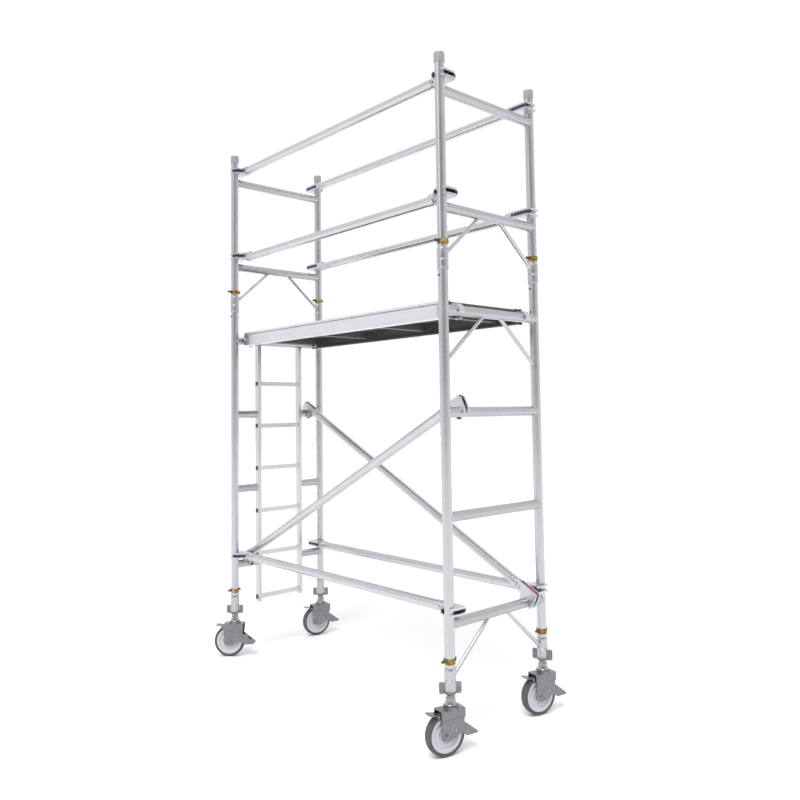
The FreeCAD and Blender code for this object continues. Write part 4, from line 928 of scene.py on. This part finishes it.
BRACKET = [(0.0, 0.010), (0.006, 0.002), (0.040, 0.002), (0.052, 0.010), (0.052, 0.070),
           (0.046, 0.0815), (0.008, 0.0815), (0.0, 0.074)]
brackets, bracket_bolts = [], []
for depth in (-1, 1):
    for end in (-1, 1):
        rim = [(end * (beam_high.x - across), FOOT + rise) for across, rise in BRACKET]
        brackets.append(([(x, depth * (FACE - 0.0002), z) for x, z in rim],
                         [(x, depth * (FACE + 0.0032), z) for x, z in rim]))
        for across, rise in ((0.016, 0.062), (0.036, 0.050), (0.018, 0.022)):
            spot = (end * (beam_high.x - across), depth * (FACE + 0.0030), FOOT + rise)
            bracket_bolts.append(turned(rounded([(0, 0), (0.0056, 0), (0.0054, 0.0016), (0.003, 0.0022),
                                                 (0, 0.0022)], 0.0006), spot, (0, depth, 0), 24))
extruded("beam_end_brackets", brackets, "rung_aluminium", "platform")
print("brackets", len(brackets), "bolts", len(bracket_bolts))
piece("bracket_bolts", bracket_bolts, "black_plastic", "platform")

# %% [markdown]
# Where a brace's tube meets its claw there is a short swaged collar with two rolled rings.

# %% Brace collars
COLLAR = rounded([(0.0246, -0.002), (0.0262, -0.001), (0.0264, 0.010), (0.0256, 0.0115),
                  (0.0256, 0.0135), (0.0264, 0.015), (0.0264, 0.030), (0.0256, 0.0315),
                  (0.0256, 0.0335), (0.0263, 0.035), (0.0260, 0.046), (0.0246, 0.048),
                  (0.0246, -0.002)], 0.0008)
ends = [((side * RAIL_END, depth * RAIL_Y, z), (-side, 0, 0))
        for z in RAIL_HEIGHTS for depth in (-1, 1) for side in (-1, 1)]
for depth, high_side in ((-1, 1), (1, -1)):
    start, end = diagonal_ends(depth, high_side)
    ends += [(start, end - start), (end, start - end)]
piece("brace_collars", [turned(COLLAR, place, along, 48) for place, along in ends],
      "brace_aluminium", "frame")
print("collars", len(ends))

# %% [markdown]
# ## Rivets and pins
# Pairs of dome-headed screws hold the edge strip, one pair at each cross tube. A dome is a short
# turned profile, so one formula places them all, and the spring pins under the joints likewise.

# %% Rivets
def dome(centre, axis, radius=0.0048, height=0.0012):
    """A flat dome on a face: radius falls as the square root of what is left of the height."""
    share = np.linspace(0, 1, 6)
    profile = np.stack([radius * np.sqrt(1 - share ** 2), height * share], -1)
    profile = np.concatenate([[(0, -0.001)], [(radius, -0.001)], profile])
    return turned(profile, centre, axis, 20)


rivets = []
for depth in (-1, 1):
    for x in CROSS_X:
        for dx in (-0.012, 0.012):
            rivets.append(dome((x + dx, depth * (FACE - 0.0008), CREST - 0.0155), (0, depth, 0),
                               0.0050, 0.0014))
piece("edge_strip_screws", rivets, "black_plastic", "platform")

PIN_HALF = 0.0325
PIN = rounded([(0, -PIN_HALF), (0.0046, -PIN_HALF), (0.0046, -PIN_HALF + 0.003),
               (0.0032, -PIN_HALF + 0.004), (0.0032, PIN_HALF - 0.004),
               (0.0046, PIN_HALF - 0.003), (0.0046, PIN_HALF), (0, PIN_HALF)], 0.0008)
pins = [turned(PIN, (side * POST_X, depth * POST_Y, SLEEVE_ENDS[1] - 0.030), (0, 1, 0), 24)
        for side, depth in CORNERS.values()]
piece("joint_lock_pins", pins, "black_plastic", "frame")
print("rivets", len(rivets), "pins", len(pins))

# %% [markdown]
# ## Studio
# A plain pale floor runs far past the tower. Bright metal shows only what is around it, so the
# world is white behind the tower and graded in bands to grey on the near side. Those tones draw
# the long light and dark bands along each tube, with one soft panel and one wide sun. From the
# far side the same world shows as a grey wall behind the tower.

# %% Floor, world and lights
def make_floor():
    """A flat, plain pale grid, well past the tower on every side."""
    span = np.linspace(-30, 30, 9)
    across, along = np.meshgrid(span, span, indexing="ij")
    points = np.stack([across, along, np.full_like(across, -0.0005)], -1).reshape(-1, 3)
    corner = (np.arange(8)[:, None] * 9 + np.arange(8)[None]).reshape(-1)
    faces = np.stack([corner, corner + 9, corner + 10, corner + 1], -1)
    mesh = bpy.data.meshes.new("studio_floor")
    mesh.from_pydata(points.tolist(), [], faces.tolist())
    floor = bpy.data.objects.new("studio_floor", mesh)
    bpy.context.scene.collection.objects.link(floor)
    material, nodes, links, shader, place = new_material("studio_floor")
    paper = stretched_noise(nodes, links, place, (1.5, 1.5, 1.5), 2.0)
    pale = blend_colours(nodes, links, paper, (0.93, 0.93, 0.935), (0.96, 0.96, 0.96))
    links.new(pale, shader.inputs["Base Color"])
    shader.inputs["Roughness"].default_value = 0.9
    mesh.materials.append(material)


def panel(name, place, target, size, power, colour=(1, 1, 1)):
    """A soft rectangular light, aimed at a point."""
    light = bpy.data.lights.new(name, "AREA")
    light.shape = "RECTANGLE"
    light.size, light.size_y = size
    light.energy = power
    light.color = colour
    lamp = bpy.data.objects.new(name, light)
    bpy.context.scene.collection.objects.link(lamp)
    lamp.location = place
    aim = np.asarray(target, float) - np.asarray(place, float)
    lamp.rotation_euler = Vector(aim.tolist()).to_track_quat("-Z", "Y").to_euler()


KEY_POWER, SUN_STRENGTH = 25, 1.6


def make_world():
    """Pale all round: white behind the tower, and graded down to grey on the near side.

    The share is half of one plus the direction's part along the line from near to far.
    """
    world = bpy.data.worlds.new("studio")
    bpy.context.scene.world = world
    world.use_nodes = True
    nodes, links = world.node_tree.nodes, world.node_tree.links
    place = nodes.new("ShaderNodeTexCoord")
    along = nodes.new("ShaderNodeVectorMath")
    along.operation = "DOT_PRODUCT"
    along.inputs[1].default_value = (-0.74, 0.67, 0.0)
    links.new(place.outputs["Generated"], along.inputs[0])
    share = nodes.new("ShaderNodeMapRange")
    share.inputs["From Min"].default_value = -1.0
    share.inputs["From Max"].default_value = 1.0
    links.new(along.outputs["Value"], share.inputs["Value"])
    ramp = nodes.new("ShaderNodeValToRGB")
    tones = ((0.0, 0.34), (0.08, 0.40), (0.20, 0.88), (0.34, 0.62), (0.48, 0.95), (0.80, 1.0))
    ramp.color_ramp.elements[0].position = tones[0][0]
    ramp.color_ramp.elements[1].position = tones[-1][0]
    for position, _ in tones[1:-1]:
        ramp.color_ramp.elements.new(position)
    for element, (_, tone) in zip(ramp.color_ramp.elements, tones):
        element.color = (tone, tone, tone * 1.01, 1)
    links.new(share.outputs["Result"], ramp.inputs["Fac"])
    parts = nodes.new("ShaderNodeSeparateXYZ")
    links.new(place.outputs["Generated"], parts.inputs["Vector"])
    overhead = spread(nodes, links, parts.outputs["Z"], 0.0, 0.95, 0.25, 0.75)
    lighter = mixed(nodes, links, 1.0, ramp.outputs["Color"], overhead, "LIGHTEN")
    links.new(lighter, nodes["Background"].inputs["Color"])
    nodes["Background"].inputs["Strength"].default_value = 1.05


def make_sun(direction, strength):
    """A wide soft sun, so the floor has one even tone out to the horizon."""
    light = bpy.data.lights.new("sun", "SUN")
    light.energy, light.angle = strength, math.radians(25)
    lamp = bpy.data.objects.new("sun", light)
    bpy.context.scene.collection.objects.link(lamp)
    lamp.rotation_euler = Vector(direction).to_track_quat("-Z", "Y").to_euler()


make_floor()
make_world()
panel("key", (1.0, -6.0, 5.0), (0, 0, 1.6), (1.6, 4.0), KEY_POWER)
make_sun((-0.35, 0.55, -1.0), SUN_STRENGTH)
bpy.context.scene.view_settings.view_transform = "Standard"

# %% [markdown]
# ## Camera
# The camera stands a little over four metres from the tower at eye height, looking slightly
# up, with a moderately wide lens. Its three directions are built from its bearing, its pitch
# and a small roll.

# %% Camera
def make_camera(place, bearing, pitch, roll, lens, shift_y):
    """Forward from bearing and pitch; right is level, then both are rolled about forward."""
    bearing, pitch, roll = (math.radians(v) for v in (bearing, pitch, roll))
    ahead = np.array((-math.sin(bearing) * math.cos(pitch),
                      math.cos(bearing) * math.cos(pitch), math.sin(pitch)))
    level = np.array((math.cos(bearing), math.sin(bearing), 0.0))
    above = np.cross(level, ahead)
    right = level * math.cos(roll) + above * math.sin(roll)
    up = -level * math.sin(roll) + above * math.cos(roll)
    data = bpy.data.cameras.new("camera")
    data.lens, data.sensor_width, data.shift_y = lens, 36.0, shift_y
    data.clip_end = 200.0
    camera = bpy.data.objects.new("camera", data)
    bpy.context.scene.collection.objects.link(camera)
    columns = np.stack([right, up, -ahead], 1)
    camera.matrix_world = Matrix([[*columns[r].tolist(), place[r]] for r in range(3)]
                                 + [[0, 0, 0, 1]])
    bpy.context.scene.camera = camera


make_camera((3.577, -2.955, 1.610), 48.05, 3.58, -0.82, 34.14, -0.0469)

# %% [markdown]
# Last, the view layer is brought up to date.

# %% Finish
bpy.context.view_layer.update()
